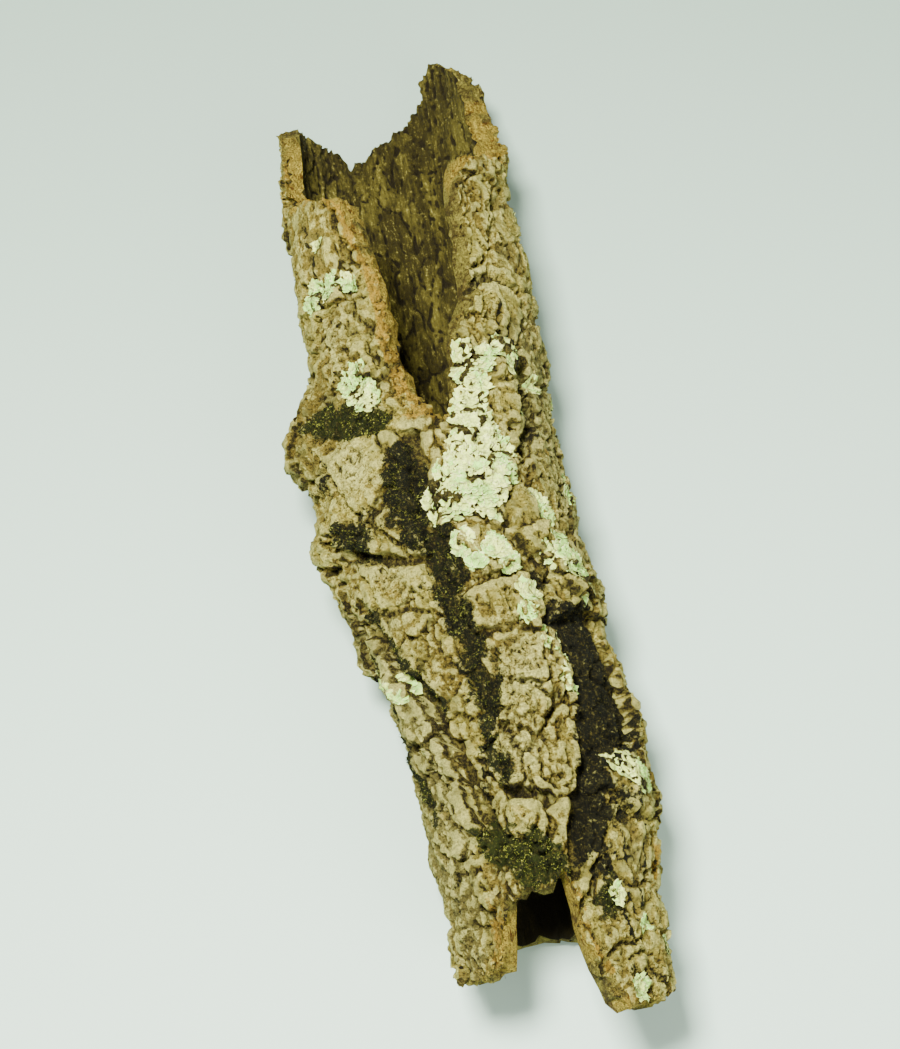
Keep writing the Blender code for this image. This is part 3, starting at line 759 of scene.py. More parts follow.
def break_cutter(name, rim, side):
    """A ring that cuts the log off along its rim: side is 1 at the upper end, else -1."""
    around, along = even_path(rim)
    count = len(around)
    jag = sum(layer(around, along, settings) for settings in RIM_JAGS)
    into_around = np.roll(along, -RIM_TURN) - np.roll(along, RIM_TURN)
    into_along = -wrap(np.roll(around, -RIM_TURN) - np.roll(around, RIM_TURN)) * MM_PER_DEGREE
    into_size = np.hypot(into_around, into_along)
    far = LENGTH / 2 + side * (LENGTH / 2 + CUTTER_SPARE)
    rings = []
    for radius in BREAK_RADII:
        share = radius / MEAN_RADIUS
        spots = drum(around, along) * (share, 1, share)
        crumbs = [noise.fractal(spot, 0.9, 2.0, 3) for spot in (spots / RIM_CRUMBS[1]).tolist()]
        thin = np.stack([around / STRATA[2], along / STRATA[2],
                         np.full(count, radius / STRATA[1])], axis=-1)
        strata = [noise.noise(spot) + noise.cell(spot) / 2 for spot in thin.tolist()]
        flare = side * RIM_FLARE * smooth((radius - MEAN_RADIUS + WALL) / (2 * WALL))
        push = flare + jag + RIM_CRUMBS[0] * np.array(crumbs) + STRATA[0] * np.array(strata)
        push = push / into_size
        rings.append(np.stack([around + push * into_around / MM_PER_DEGREE,
                               along + push * into_along, np.full(count, radius)], axis=-1))
    for radius in (BREAK_RADII[-1], BREAK_RADII[0]):
        rings.append(np.stack([around, np.full(count, far), np.full(count, radius)], axis=-1))
    spots = np.stack(rings, axis=1).reshape(-1, 3)
    middle, _, half_height = section(spots[:, 1])
    angle = np.radians(spots[:, 0])
    x = middle - MIDDLE_X + spots[:, 2] * np.sin(angle)
    z = half_height + spots[:, 2] * np.cos(angle)
    spots = np.stack([x, spots[:, 1] - LENGTH / 2, z], axis=-1) * MM
    return rolled_grid(name, len(rings), count, spots, closed_along=True)


began = time.time()
breaks = [break_cutter("lower_break", LOWER_RIM, -1), break_cutter("upper_break", UPPER_RIM, 1)]
print("breaks:", [len(ring.data.polygons) for ring in breaks], "faces in",
      round(time.time() - began, 1), "s")

# %% [markdown]
# ## Cutting the log
#
# A cutter's faces keep their material when a Boolean takes them over, so the log and all three
# cutters get the same three slots, for the outside, the bore and the broken edges, and every
# face of the finished bark then knows what it is. After the cuts there are more triangles than
# the eye needs: a Decimate modifier thins them, most of all on the underside and deep in the
# bore, which a vertex group picks out.

# %% Cut and thin
BARK_TRIANGLES = 196000
NOTCH_FOOT = 250.0                      # the bore can't be seen further down than this
BORE_TOP = (120.0, 40.0)                # degrees: where the bore's roof ends, and how softly
UNDERSIDE_FROM = (105.0, 30.0)
HIDDEN_SHARE = (0.1, 0.9)
GROUP_LEVELS = 10
MEND_REACH = 1e-5                       # in metres
finishes = [bpy.data.materials.new(name) for name in ("outer_bark", "inner_bark", "torn_cork")]


def triangle_count(piece):
    return sum(len(face.vertices) - 2 for face in piece.data.polygons)


def apply_modifier(piece, modifier):
    pick(piece)
    bpy.ops.object.modifier_apply(modifier=modifier.name)


for piece, slot in ((bark, 0), (bore, 1), (breaks[0], 2), (breaks[1], 2)):
    for finish in finishes:
        piece.data.materials.append(finish)
    piece.data.polygons.foreach_set("material_index", np.full(len(piece.data.polygons), slot))

began = time.time()
for cutter in (bore, *breaks):
    boolean = bark.modifiers.new("Cut", "BOOLEAN")
    boolean.operation = "DIFFERENCE"
    boolean.solver = "MANIFOLD"
    boolean.object = cutter
    apply_modifier(bark, boolean)
    bpy.data.objects.remove(cutter)
    print("after a cut:", triangle_count(bark), "triangles")
around, along, out = unroll(mesh_points(bark.data))
in_bore = out < -WALL / 2
turned = np.abs(around)
hidden = np.where(in_bore, smooth((BORE_TOP[0] - turned) / BORE_TOP[1]) + (along < NOTCH_FOOT),
                  smooth((turned - UNDERSIDE_FROM[0]) / UNDERSIDE_FROM[1]))
hidden = np.clip(HIDDEN_SHARE[0] + HIDDEN_SHARE[1] * np.clip(hidden, 0.0, 1.0), 0.0, 1.0)
group = bark.vertex_groups.new(name="hidden")
levels = np.rint(hidden * GROUP_LEVELS).astype(int)
for level in range(1, GROUP_LEVELS + 1):
    group.add(np.flatnonzero(levels == level).tolist(), level / GROUP_LEVELS, "REPLACE")
thin = bark.modifiers.new("Thin", "DECIMATE")
thin.vertex_group = group.name
thin.vertex_group_factor = 1.0
thin.ratio = min(1.0, BARK_TRIANGLES / triangle_count(bark))
apply_modifier(bark, thin)
bark.vertex_groups.clear()
pick(bark)
bpy.ops.object.mode_set(mode="EDIT")
bpy.ops.mesh.select_all(action="SELECT")
bpy.ops.mesh.dissolve_degenerate(threshold=MEND_REACH)
bpy.ops.mesh.delete_loose()
bpy.ops.mesh.select_all(action="DESELECT")
bpy.ops.mesh.select_non_manifold(use_wire=False, use_multi_face=False, use_non_contiguous=False,
                                 use_verts=False)
bpy.ops.mesh.fill_holes(sides=8)
bpy.ops.mesh.select_all(action="SELECT")
bpy.ops.mesh.normals_make_consistent(inside=False)
bpy.ops.object.mode_set(mode="OBJECT")
spots = mesh_points(bark.data)
spots[:, 2] = np.maximum(spots[:, 2], 0.0)
set_points(bark.data, spots)
print("bark:", triangle_count(bark), "triangles in", round(time.time() - began, 1), "s")

# %% [markdown]
# ## What grew and what weathered where
#
# Colour on old bark follows its shape and its history, and some of it is painted light and shade.
# Cracks hold dirt and are painted dark as shade, raised edges are rubbed pale and painted pale as
# highlight, a fresh tear is orange, soot-dark algae and moss keep to the damp furrows, and a grey
# bloom covers the flanks and darkens them as painted shade. The bark under the lichen and the
# lower end of the bore are painted dark as shade. Each of these is a mask, a number from 0 to 1
# for every vertex, kept as an attribute that the shader reads. Masks could be painted by hand,
# but worked out from named places and from the relief itself they fit every crack exactly.

# %% Moss, soot, bloom, fresh tears and painted shade
# The dark bed beside the pale brow holds both moss and soot
DARK_BED = ((-27, 256), (-19, 260), (-12, 250), (-11, 238), (-12, 222), (-16, 209), (-25, 213),
            (-30, 222), (-31, 238))
# Greenness, outline
MOSS_BEDS = (
    (0.55, ((-71, 294), (-57, 298), (-46, 293), (-37, 286), (-27, 283), (-20, 278), (-22, 270),
            (-34, 269), (-47, 272), (-60, 279))),
    (0.12, DARK_BED),
    (0.25, ((-57, 236), (-44, 232), (-40, 222), (-46, 212), (-57, 214), (-62, 224))),
    (0.75, ((-40, 84), (-25, 85), (-16, 77), (-5, 76), (7, 69), (8, 57), (-4, 53), (-18, 52),
            (-22, 62), (-34, 70))),
    (0.5, ((20, 50), (28, 58), (32, 46), (30, 34), (20, 36), (16, 44))),
)
# Greenness, half width, path
MOSS_LINES = (
    (0.20, 7.0, ((-10, 212), (-11, 200), (-17, 189), (-17, 178), (-16, 165), (-15, 150),
                 (-15, 138))),
    (0.30, 4.0, ((-14, 136), (-17, 125), (-20, 116), (-14, 104))),
    (0.35, 4.0, ((-66, 196), (-60, 180), (-56, 168), (-48, 156), (-40, 140))),
    (0.40, 4.0, ((-82, 180), (-80, 150), (-74, 120), (-66, 96))),
    (0.50, 5.0, ((150, 60), (138, 130), (146, 190))),
    (0.50, 5.0, ((104, 40), (112, 100), (102, 150))),
)
SOOT_BEDS = (
    ((29, 175), (42, 177), (60, 181), (69, 173), (76, 152), (77, 128), (71, 111), (50, 108),
     (36, 106), (33, 98), (34, 88), (30, 76), (24, 62), (13, 58), (13, 76), (19, 99), (25, 108),
     (27, 132), (29, 152)),
    DARK_BED,
)
# Half width, path: dark streaks that branch down the right leg and beside the shoulder
SOOT_LINES = (
    (1.3, ((22, 98), (27, 84), (25, 68), (30, 52), (32, 36), (37, 22))),
    (1.1, ((27, 84), (35, 72), (38, 58), (45, 48), (48, 34))),
    (1.0, ((46, 98), (45, 84), (51, 72), (53, 58))),
    (0.9, ((25, 68), (34, 60), (41, 62), (48, 66))),
    (1.0, ((30, 52), (38, 46), (41, 38))),
    (0.9, ((-20, 118), (-26, 108), (-30, 96), (-29, 86))),
    (1.0, ((36, 330), (37, 312), (42, 300), (41, 284))),
    (0.9, ((-54, 392), (-52, 376), (-55, 362), (-52, 348))),
)
# Around, along, half size around in mm, half size along, share
SOOT_PLACES = (
    (38, 82, 7, 12, 0.55), (24, 50, 7, 16, 0.6), (36, 104, 12, 4, 0.5), (46, 276, 7, 18, 0.6),
    (-52, 222, 12, 5, 0.5), (-28, 100, 5, 10, 0.4), (8, 66, 12, 5, 0.5), (40, 13, 18, 4, 0.5),
    (-70, 262, 10, 8, 0.3), (118, 180, 14, 60, 0.35), (-128, 260, 16, 50, 0.35),
    (-24, 376, 3, 16, 0.5), (34, 396, 6, 10, 0.3), (30, 188, 8, 5, 0.6),
    (-36, 230, 12, 7, 0.5), (-58, 60, 6, 18, 0.4), (-64, 262, 8, 10, 0.4),
)
# The same, for the grey bloom, which also stands for the shade on the flanks, the pale rubbed plates and
# the orange of fresh cork
GREY_PLACES = (
    (-78, 110, 24, 60, 1.2), (-13, 264, 9, 13, 0.9), (62, 275, 24, 44, 1.1),
    (-46, 380, 16, 20, 0.55), (46, 66, 20, 26, 0.5), (50, 370, 22, 40, 0.35),
    (-52, 46, 18, 28, 0.8), (-56, 130, 9, 44, 1.0),
    (110, 250, 40, 160, 0.8), (-120, 250, 40, 160, 0.8), (180, 250, 50, 200, 0.8),
)
CREAM_PLACES = (
    (-43, 254, 12, 12, 0.7), (-44, 205, 20, 10, 0.5), (5, 150, 18, 26, 0.55),
    (-6, 112, 18, 26, 0.5), (-52, 128, 8, 46, 0.35), (-45, 330, 18, 18, 0.5),
    (-62, 250, 16, 20, 0.3), (32, 340, 18, 16, 0.5),
)
FRESH_PLACES = (
    (-20, 362, 4, 42, 1.0), (-80, 440, 10, 26, 1.0), (-16, 298, 5, 20, 1.0),
    (-3, 274, 12, 4, 1.0), (58, 424, 20, 6, 0.9), (92, 458, 14, 30, 0.7),
    (-52, 406, 20, 4, 0.9), (118, 508, 14, 8, 0.5), (10, 34, 5, 26, 0.6),
    (-37, 40, 5, 14, 0.8), (34, 3, 18, 6, 0.7), (66, 62, 5, 16, 0.8),
    (57, 255, 3.5, 3.5, 1.0), (42, 296, 5, 5, 0.5), (-32, 104, 4, 7, 0.6),
    (6, 140, 4, 4, 0.5), (14, 119, 4, 5, 0.7), (-58, 28, 14, 5, 0.6), (-6, 66, 8, 4, 0.4),
    (-64, 340, 10, 14, 0.3),
)
# Half width, path: torn edges that show on the outside too
FRESH_EDGES = (
    (3.6, ((-38, 402), (-31, 392), (-29, 378), (-27, 366), (-24, 352), (-22, 335), (-21, 320),
           (-20, 308))),
    (2.6, ((-20, 308), (-17, 297), (-12, 285), (-5, 274), (3, 270))),
    (3.0, ((30, 404), (40, 414), (62, 422), (82, 434))),
    (1.5, ((6, 60), (11, 48), (13, 30), (20, 14))),
    (1.5, ((-36, 54), (-36, 40), (-42, 30))),
)
# Crusts of lichen: outlines, half width of a lobe, spacing of the lobes, share of gaps
CRUSTS = {
    "lichen_shoulder": (
        (((12, 308), (19, 305), (25, 303), (33, 309), (43, 308), (45, 298), (43, 291), (36, 291),
          (32, 298), (26, 296), (27, 292), (21, 287), (24, 283), (19, 277), (21, 268), (23, 261),
          (26, 255), (33, 252), (34, 248), (25, 244), (32, 237), (24, 232), (23, 226), (20, 217),
          (11, 220), (5, 221), (-4, 218), (-10, 221), (-13, 227), (-12, 238), (-6, 242),
          (-2, 247), (1, 251), (4, 258), (5, 266), (6, 273), (11, 284), (10, 294)),),
        1.7, 1.4, 0.43),
    "lichen_left": (
        (((-49, 303), (-44, 308), (-39, 310), (-33, 308), (-32, 298), (-26, 291), (-29, 285),
          (-35, 284), (-41, 289), (-46, 295)),),
        1.3, 1.1, 0.26),
    "lichen_flange": (
        (((-60, 362), (-52, 361), (-46, 359), (-41, 361), (-33, 355), (-33, 349), (-40, 352),
          (-49, 350), (-56, 347), (-63, 350), (-61, 355)),
         ((-49, 380), (-45, 380), (-45, 376), (-49, 376))),
        1.3, 1.1, 0.06),
    "lichen_tongue": (
        (((30, 201), (38, 204), (46, 203), (54, 198), (62, 190), (58, 182), (50, 184), (44, 190),
          (38, 193)),),
        1.6, 1.3, 0.26),
    "lichen_leg": (
        (((33, 104), (44, 108), (54, 106), (60, 100), (60, 91), (48, 88), (43, 93), (36, 98)),),
        1.7, 1.5, 0.36),
}


BORE_SHADE_UNDER = 130.0                      # the bore is painted dark from here down, as the shade inside the arch, in mm
BORE_SHADE_FADE = 70.0
BED_RAGGED = (4.6, 6.0, 4, 101.0)       # noise on a bed's edge: strength, size, octaves, shift
PATCHY = (1.0, 7.0, 3, 111.0)
BROAD = (0.35, 24.0, 3, 121.0)


def bed_share(outline, around, along, edge=2.0):
    """1 well inside an outline, 0 well outside, and ragged in between."""
    ragged = layer(around, along, BED_RAGGED)
    return smooth(0.5 + (reach_inside(outline, around, along) + ragged) / (2 * edge))


def masks(around, along):
    """Every mask of the outside, how green its moss is, and the bore's painted shade."""
    patchy = layer(around, along, PATCHY)
    moss = np.zeros(around.shape)
    green = np.zeros(around.shape)
    for greenness, outline in MOSS_BEDS:
        share = bed_share(outline, around, along)
        green = np.where(share > moss, greenness, green)
        moss = np.maximum(moss, share)
    for greenness, width, path in MOSS_LINES:
        share = smooth(1.55 - path_distance(path, around, along) / width + 0.9 * patchy)
        green = np.where(share > moss, greenness, green)
        moss = np.maximum(moss, share)
    soot = np.maximum.reduce([bed_share(outline, around, along) for outline in SOOT_BEDS])
    for width, path in SOOT_LINES:
        far = path_distance(path, around + 2.2 * patchy, along) + 1.2 * np.abs(patchy)
        soot = np.maximum(soot, smooth(1.6 - far / width))
    # The bark under the lichen crusts gets a mask of its own, painted dark as the shade in the gaps
    # between lobes.
    under = [bed_share(outline, around, along, 1.5)
             for outlines, *_ in CRUSTS.values() for outline in outlines]
    soot = np.maximum(soot, smooth(blob(SOOT_PLACES, around, along) * (1.2 + 0.9 * patchy)))
    fresh = smooth(blob(FRESH_PLACES, around, along) * (1.25 + 0.8 * patchy) - 0.1)
    for width, path in FRESH_EDGES:
        far = path_distance(path, around, along)
        fresh = np.maximum(fresh, smooth(1.5 - far / width + 0.7 * patchy))
    broad = layer(around, along, BROAD)
    return {
        "moss": moss, "green": green, "soot": soot, "under": np.maximum.reduce(under),
        "grey": smooth(blob(GREY_PLACES, around, along) + broad),
        "cream": smooth(blob(CREAM_PLACES, around, along) + 0.8 * broad),
        "fresh": fresh, "lower_bore_shade": smooth((BORE_SHADE_UNDER - along) / BORE_SHADE_FADE),
    }


print("mask of fresh tears at the notch's tip:", masks(np.zeros(1), np.full(1, 273.0))["fresh"])

# %% Attributes of the bark
FINE_REACH = 2.5                        # mm each way that "low" is measured against
WIDE_REACH = 9.0                        # the same for "wide"
BORE_WIDE_REACH = 8.0


def keep(piece, name, values):
    """Stores a number for each vertex under a name that a shader can read."""
    attribute = piece.data.attributes.new(name, "FLOAT", "POINT")
    attribute.data.foreach_set("value", np.ascontiguousarray(values, np.float32))


def touching(piece, slot):
    """True for the vertices of the faces that wear a slot's material."""
    mesh = piece.data
    slots = np.empty(len(mesh.polygons), int)
    mesh.polygons.foreach_get("material_index", slots)
    counts = np.empty(len(mesh.polygons), int)
    mesh.polygons.foreach_get("loop_total", counts)
    corners = np.empty(len(mesh.loops), int)
    mesh.loops.foreach_get("vertex_index", corners)
    found = np.zeros(len(mesh.vertices), bool)
    found[corners[np.repeat(slots == slot, counts)]] = True
    return found


points = mesh_points(bark.data)
around, along, _ = unroll(points)
outer = touching(bark, 0)
hollowed = touching(bark, 1) & ~outer
low = outside.blurred(layers["height"], FINE_REACH) - layers["height"]
wide = outside.blurred(layers["height"], WIDE_REACH) - layers["height"]
bore_low = bore_height - inner.blurred(bore_height, FINE_REACH)
for name, outer_values, bore_values in (
        ("low", low, bore_low), ("wide", wide, bore_height - inner.blurred(bore_height, BORE_WIDE_REACH)),
        ("block", layers["block"], bore_block), ("pebble", layers["pebble"], bore_block),
        ("calm", layers["calm"], bore_block * 0), ("patch", layers["patch"], bore_block * 0)):
    values = outside.read(outer_values, around, along)
    values[hollowed] = inner.read(bore_values, around[hollowed], along[hollowed])
    keep(bark, name, values)
for name, values in masks(around, along).items():
    keep(bark, name, values)
bark_around, bark_along = around, along
print("attributes:", sorted(attribute.name for attribute in bark.data.attributes))

# %% [markdown]
# ## Shader tools
#
# A material's node tree is a sum written in boxes. Written as Python it is easier to read: the
# class below wraps a socket so that ordinary arithmetic on it adds Math nodes, and a second
# small class adds every other kind of node.


# %% Sockets that can be reckoned with
class Socket:
    """A node's output. An expression on it adds Math nodes."""

    def __init__(self, finish, output):
        self.finish = finish
        self.output = output

    def __add__(self, other):
        return self.finish.math("ADD", self, other)

    def __sub__(self, other):
        return self.finish.math("SUBTRACT", self, other)

    def __mul__(self, other):
        return self.finish.math("MULTIPLY", self, other)

    def __rsub__(self, other):
        return self.finish.math("SUBTRACT", other, self)

    __radd__ = __add__
    __rmul__ = __mul__


class Finish:
    """A material under construction."""

    def __init__(self, material):
        material.use_nodes = True
        self.material = material
        self.tree = material.node_tree
        self.shader = self.tree.nodes["Principled BSDF"]
        self.where = self.node("ShaderNodeTexCoord", output="Object")

    def node(self, kind, settings=None, sockets=None, output=0):
        """Adds a node: its settings first, then its sockets' values or links."""
        node = self.tree.nodes.new(kind)
        for name, value in (settings or {}).items():
            setattr(node, name, value)
        for name, value in (sockets or {}).items():
            self.feed(node.inputs[name], value)
        return Socket(self, node.outputs[output])

    def feed(self, goal, value):
        if isinstance(value, Socket):
            self.tree.links.new(value.output, goal)
        else:
            goal.default_value = value

    def math(self, operation, *values):
        return self.node("ShaderNodeMath", {"operation": operation}, dict(enumerate(values)))

    def attribute(self, name):
        return self.node("ShaderNodeAttribute", {"attribute_name": name}, output="Fac")

    def step(self, value, low, high):
        """A soft step: 0 up to low, 1 from high."""
        return self.node("ShaderNodeMapRange", {"interpolation_type": "SMOOTHSTEP"},
                         {"Value": value, "From Min": low, "From Max": high})

    def spots(self, stretch=(1, 1, 1), turn=(0, 0, 0)):
        return self.node("ShaderNodeMapping", None,
                         {"Vector": self.where, "Scale": stretch, "Rotation": turn})

    def grain(self, size, detail=3.0, harshness=0.55, stretch=(1, 1, 1), twist=0.0):
        """Noise from 0 to 1, evenly spread, with grains of this size in millimetres."""
        plain = self.node("ShaderNodeTexNoise", None, {
            "Vector": self.spots(stretch), "Scale": 1.0 / (size * MM), "Detail": detail,
            "Roughness": harshness, "Distortion": twist})
        return self.step(plain, 0.26, 0.74)

    def mix(self, share, first, second, blend="MIX"):
        """Two colours mixed. A tuple stands for a plain colour."""
        first, second = [value if isinstance(value, Socket) else (*value, 1.0)
                         for value in (first, second)]
        return self.node("ShaderNodeMix", {"data_type": "RGBA", "blend_type": blend},
                         {0: share, 6: first, 7: second}, output=2)

    def shade(self, colour, share):
        """A colour made darker or lighter by a number."""
        grey = self.node("ShaderNodeCombineColor", None,
                         {"Red": share, "Green": share, "Blue": share})
        return self.mix(1.0, colour, grey, "MULTIPLY")

    def bump(self, height, depth, strength=1.0, under=None):
        """Relief too fine for the mesh. depth is in millimetres."""
        sockets = {"Height": height, "Distance": depth * MM, "Strength": strength}
        if under is not None:
            sockets["Normal"] = under
        return self.node("ShaderNodeBump", None, sockets, output="Normal")

    def finish(self, **sockets):
        for name, value in sockets.items():
            name = name.replace("_", " ")
            if isinstance(value, tuple):
                value = (*value, 1.0)
            self.feed(self.shader.inputs[name], value)


def tint(red, green, blue):
    """A colour as a paint chart gives it, from 0 to 255, as the light that it sends back."""
    shares = [value / 255 for value in (red, green, blue)]
    return tuple(share / 12.92 if share < 0.04045 else ((share + 0.055) / 1.055)**2.4
                 for share in shares)


print("middle grey sends back", round(tint(128, 128, 128)[0], 3), "of the light")

# %% [markdown]
# ## The bark's three finishes
#
# The outside starts as weathered tan cork, each block a little different. The low places are
# painted dark, as dirt and as shade, the fine bump is painted lighter on its tops and darker in its
# hollows, and raised edges are painted pale, as wear and as highlight. Over that lie a grey bloom,
# which also darkens the flanks as shade, fresh orange cork, painted shade under the lichen,
# soot-dark algae and moss. The bore is dark brown and fibrous, painted darker in its hollows and
# towards its lower end as shade, and a torn edge shows the cork itself, orange where it is fresh,
# with its bump's hollows painted dark. Grain that is finer than the mesh comes from bump.

# %% Outer bark
TAN = tint(196, 184, 86)
OCHRE = tint(144, 126, 50)
CREAM = tint(238, 234, 138)
GREY_BLOOM_AND_SHADE = tint(126, 120, 64)
BROWN = tint(112, 102, 42)
DIRT_AND_SHADE = tint(32, 26, 8)
ORANGE = tint(196, 160, 56)
RUST = tint(134, 94, 24)
SOOT = tint(18, 19, 5)
MOSS_GREEN = tint(46, 54, 10)
DULL = 0.2                              # how much a rough, dry surface shines

outer_finish = Finish(finishes[0])
low, wide, block, pebble, calm, patch, moss, green, soot, under, grey, cream, fresh = [
    outer_finish.attribute(name) for name in (
        "low", "wide", "block", "pebble", "calm", "patch", "moss", "green", "soot", "under",
        "grey", "cream", "fresh")]
cloud = outer_finish.grain(11.0, 4.0, 0.6)
mottle = outer_finish.grain(2.4, 4.0, 0.65)
crumb = outer_finish.grain(2.1, 6.0, 0.82)
speck = outer_finish.grain(0.9, 3.0, 0.7)
along_lines = outer_finish.grain(0.8, 3.0, 0.65, (1.0, 0.14, 1.0))
cross_lines = outer_finish.grain(0.9, 3.0, 0.65, (0.2, 1.0, 0.2))

tone = 0.3 * block + 0.45 * cloud + 0.45 * mottle
colour = outer_finish.mix(outer_finish.step(tone, 0.2, 0.8), OCHRE, TAN)
pale = outer_finish.step(0.6 * cream + 0.4 * mottle + 0.4 * crumb, 0.5, 1.2)
colour = outer_finish.mix(pale, colour, CREAM)
# Grey bloom, also made darker on the flanks and sides to paint their shade.
colour = outer_finish.mix(outer_finish.step(grey + 0.5 * cloud, 0.5, 1.3) * 0.8, colour, GREY_BLOOM_AND_SHADE)
# Raised places are painted pale: partly wear, partly a painted highlight on the ridges.
worn_and_highlit = outer_finish.step(0.8 * crumb + 0.3 * speck - low, 0.6, 1.3)
colour = outer_finish.mix(worn_and_highlit * 0.65, colour, CREAM)
warm = outer_finish.step(0.6 * pebble + 0.5 * mottle + 0.3 * patch, 0.85, 1.2)
colour = outer_finish.mix(warm * 0.3, colour, ORANGE)
tear = outer_finish.mix(outer_finish.step(mottle + 0.5 * speck, 0.3, 0.9), RUST, ORANGE)
colour = outer_finish.mix(outer_finish.step(fresh + 0.5 * mottle, 0.9, 1.3), colour, tear)
# The grain lines, crumb and speck also drive the bump, so the colour is painted lighter on the bump's
# tops and darker in its hollows: grain, and painted shade.
lines = 0.4 * along_lines * (0.2 + calm) + 0.28 * cross_lines * (1.2 - calm)
colour = outer_finish.shade(colour, lines + 0.68 * crumb + 0.62 * speck)
# The dark colour of dirt and of painted shade.
soil_and_shade = outer_finish.mix(outer_finish.step(crumb + 0.5 * speck, 0.6, 1.2), DIRT_AND_SHADE, BROWN)
# Painted shade: the deepest hollows of the crumb and speck bump are painted near black.
pit_shade = outer_finish.step(crumb + 0.4 * speck + 0.1 * calm - 0.3 * low, 0.64, 0.32)
colour = outer_finish.mix(pit_shade * 0.85, colour, DIRT_AND_SHADE)
# The low and the wide hollows of the relief are painted dark: dirt, and painted shade in the recesses.
dirt_and_shade = outer_finish.step(low + 0.6 * mottle, 0.6, 1.3)
deep = outer_finish.step(wide + 1.6 * mottle, 1.5, 4.0)
colour = outer_finish.mix(dirt_and_shade * 0.85, colour, soil_and_shade)
colour = outer_finish.mix(deep * 0.75, colour, soil_and_shade)
grime = outer_finish.step(0.7 * cloud + 0.5 * crumb + 0.3 * speck - 0.4 * cream, 0.78, 1.15)
colour = outer_finish.mix(grime * 0.6, colour, soil_and_shade)
# Painted shadow: the bark under the lichen is painted dark, so the gaps between lobes look shaded.
colour = outer_finish.mix(outer_finish.step(under + 0.3 * mottle, 0.4, 0.8) * 0.95, colour, soil_and_shade)
flecks = outer_finish.step(crumb + 0.4 * speck, 0.75, 1.15)
sooty = outer_finish.mix(flecks * 0.4, SOOT, BROWN)
broken_up = 0.5 * mottle + 0.35 * crumb
colour = outer_finish.mix(outer_finish.step(0.55 * soot + broken_up, 0.62, 0.88), colour, sooty)
bed = outer_finish.mix(outer_finish.step(green + 0.6 * mottle, 0.4, 1.3), SOOT, MOSS_GREEN)
bed = outer_finish.mix(flecks * 0.7, bed, BROWN)
colour = outer_finish.mix(outer_finish.step(0.55 * moss + broken_up, 0.62, 0.88), colour, bed)

relief = outer_finish.bump(crumb * (1.15 - 0.7 * calm), 2.3, 1.0)
relief = outer_finish.bump(along_lines * (0.2 + calm) + cross_lines * (1.2 - calm), 0.5, 0.9,
                           relief)
relief = outer_finish.bump(speck, 0.45, 1.0, relief)
outer_finish.finish(Base_Color=colour, Roughness=0.8 + 0.15 * mottle, Normal=relief,
                    Specular_IOR_Level=DULL)
print("outer bark:", len(outer_finish.tree.nodes), "nodes")

# %% Inner bark
INNER_DARK = tint(66, 59, 18)
INNER_BROWN = tint(124, 115, 46)
INNER_PALE = tint(206, 196, 106)

inner_finish = Finish(finishes[1])
low, block, lower_bore_shade = [inner_finish.attribute(name) for name in ("low", "block", "lower_bore_shade")]
cloud = inner_finish.grain(12.0, 4.0, 0.6, (1.0, 0.4, 1.0))
fibres = inner_finish.grain(1.6, 5.0, 0.7, (1.0, 0.2, 1.0))
crumb = inner_finish.grain(2.4, 6.0, 0.8)
speck = inner_finish.grain(0.9, 3.0, 0.7)
colour = inner_finish.mix(inner_finish.step(block * 0.15 + 0.6 * cloud + 0.3 * fibres, 0.2, 0.9),
                          INNER_DARK, INNER_BROWN)
glint = inner_finish.step(0.5 * fibres + 0.4 * crumb + 0.5 * speck, 0.85, 1.2)
colour = inner_finish.mix(glint * 0.7, colour, INNER_PALE)
# Fibres, crumb and speck also drive the bump, so the colour is painted lighter on its tops and darker in
# its hollows: grain, and painted shade.
colour = inner_finish.shade(colour, 0.22 + 0.5 * fibres + 0.4 * crumb + 0.35 * speck)
# The hollows of the bore's wall are painted dark, as dirt and as shade.
colour = inner_finish.mix(inner_finish.step(low + 0.4 * speck, 0.3, 0.9) * 0.95, colour, DIRT_AND_SHADE)
# Painted shade: the deepest hollows of the crumb bump are painted near black.
pit_shade = inner_finish.step(crumb + 0.3 * fibres, 0.42, 0.15)
colour = inner_finish.mix(pit_shade * 0.85, colour, DIRT_AND_SHADE)
# Painted shade: the bore is painted dark towards its lower end, inside the arch.
colour = inner_finish.mix(lower_bore_shade * 0.9, colour, DIRT_AND_SHADE)
relief = inner_finish.bump(fibres, 0.9, 1.0)
relief = inner_finish.bump(crumb, 1.2, 1.0, relief)
relief = inner_finish.bump(speck, 0.5, 0.9, relief)
inner_finish.finish(Base_Color=colour, Roughness=0.7 + 0.2 * speck, Normal=relief,
                    Specular_IOR_Level=DULL)
print("inner bark:", len(inner_finish.tree.nodes), "nodes")

# %% Torn cork
TORN_BROWN = tint(116, 100, 42)
TORN_PALE = tint(226, 202, 84)

torn_finish = Finish(finishes[2])
fresh = torn_finish.attribute("fresh")
cloud = torn_finish.grain(6.0, 3.0, 0.6)
grit = torn_finish.grain(1.2, 4.0, 0.7)
speck = torn_finish.grain(0.6, 2.0, 0.6)
streaks = torn_finish.grain(0.9, 3.0, 0.6, (1.0, 0.16, 1.0))
colour = torn_finish.mix(torn_finish.step(cloud + 0.5 * grit, 0.35, 1.2), TORN_BROWN, TAN)
bright = torn_finish.mix(torn_finish.step(grit + 0.6 * streaks, 0.3, 1.1), ORANGE, TORN_PALE)
bright = torn_finish.mix(torn_finish.step(cloud + 0.4 * streaks, 0.6, 0.2), bright, RUST)
colour = torn_finish.mix(torn_finish.step(fresh + 0.3 * cloud, 0.35, 0.75), colour, bright)
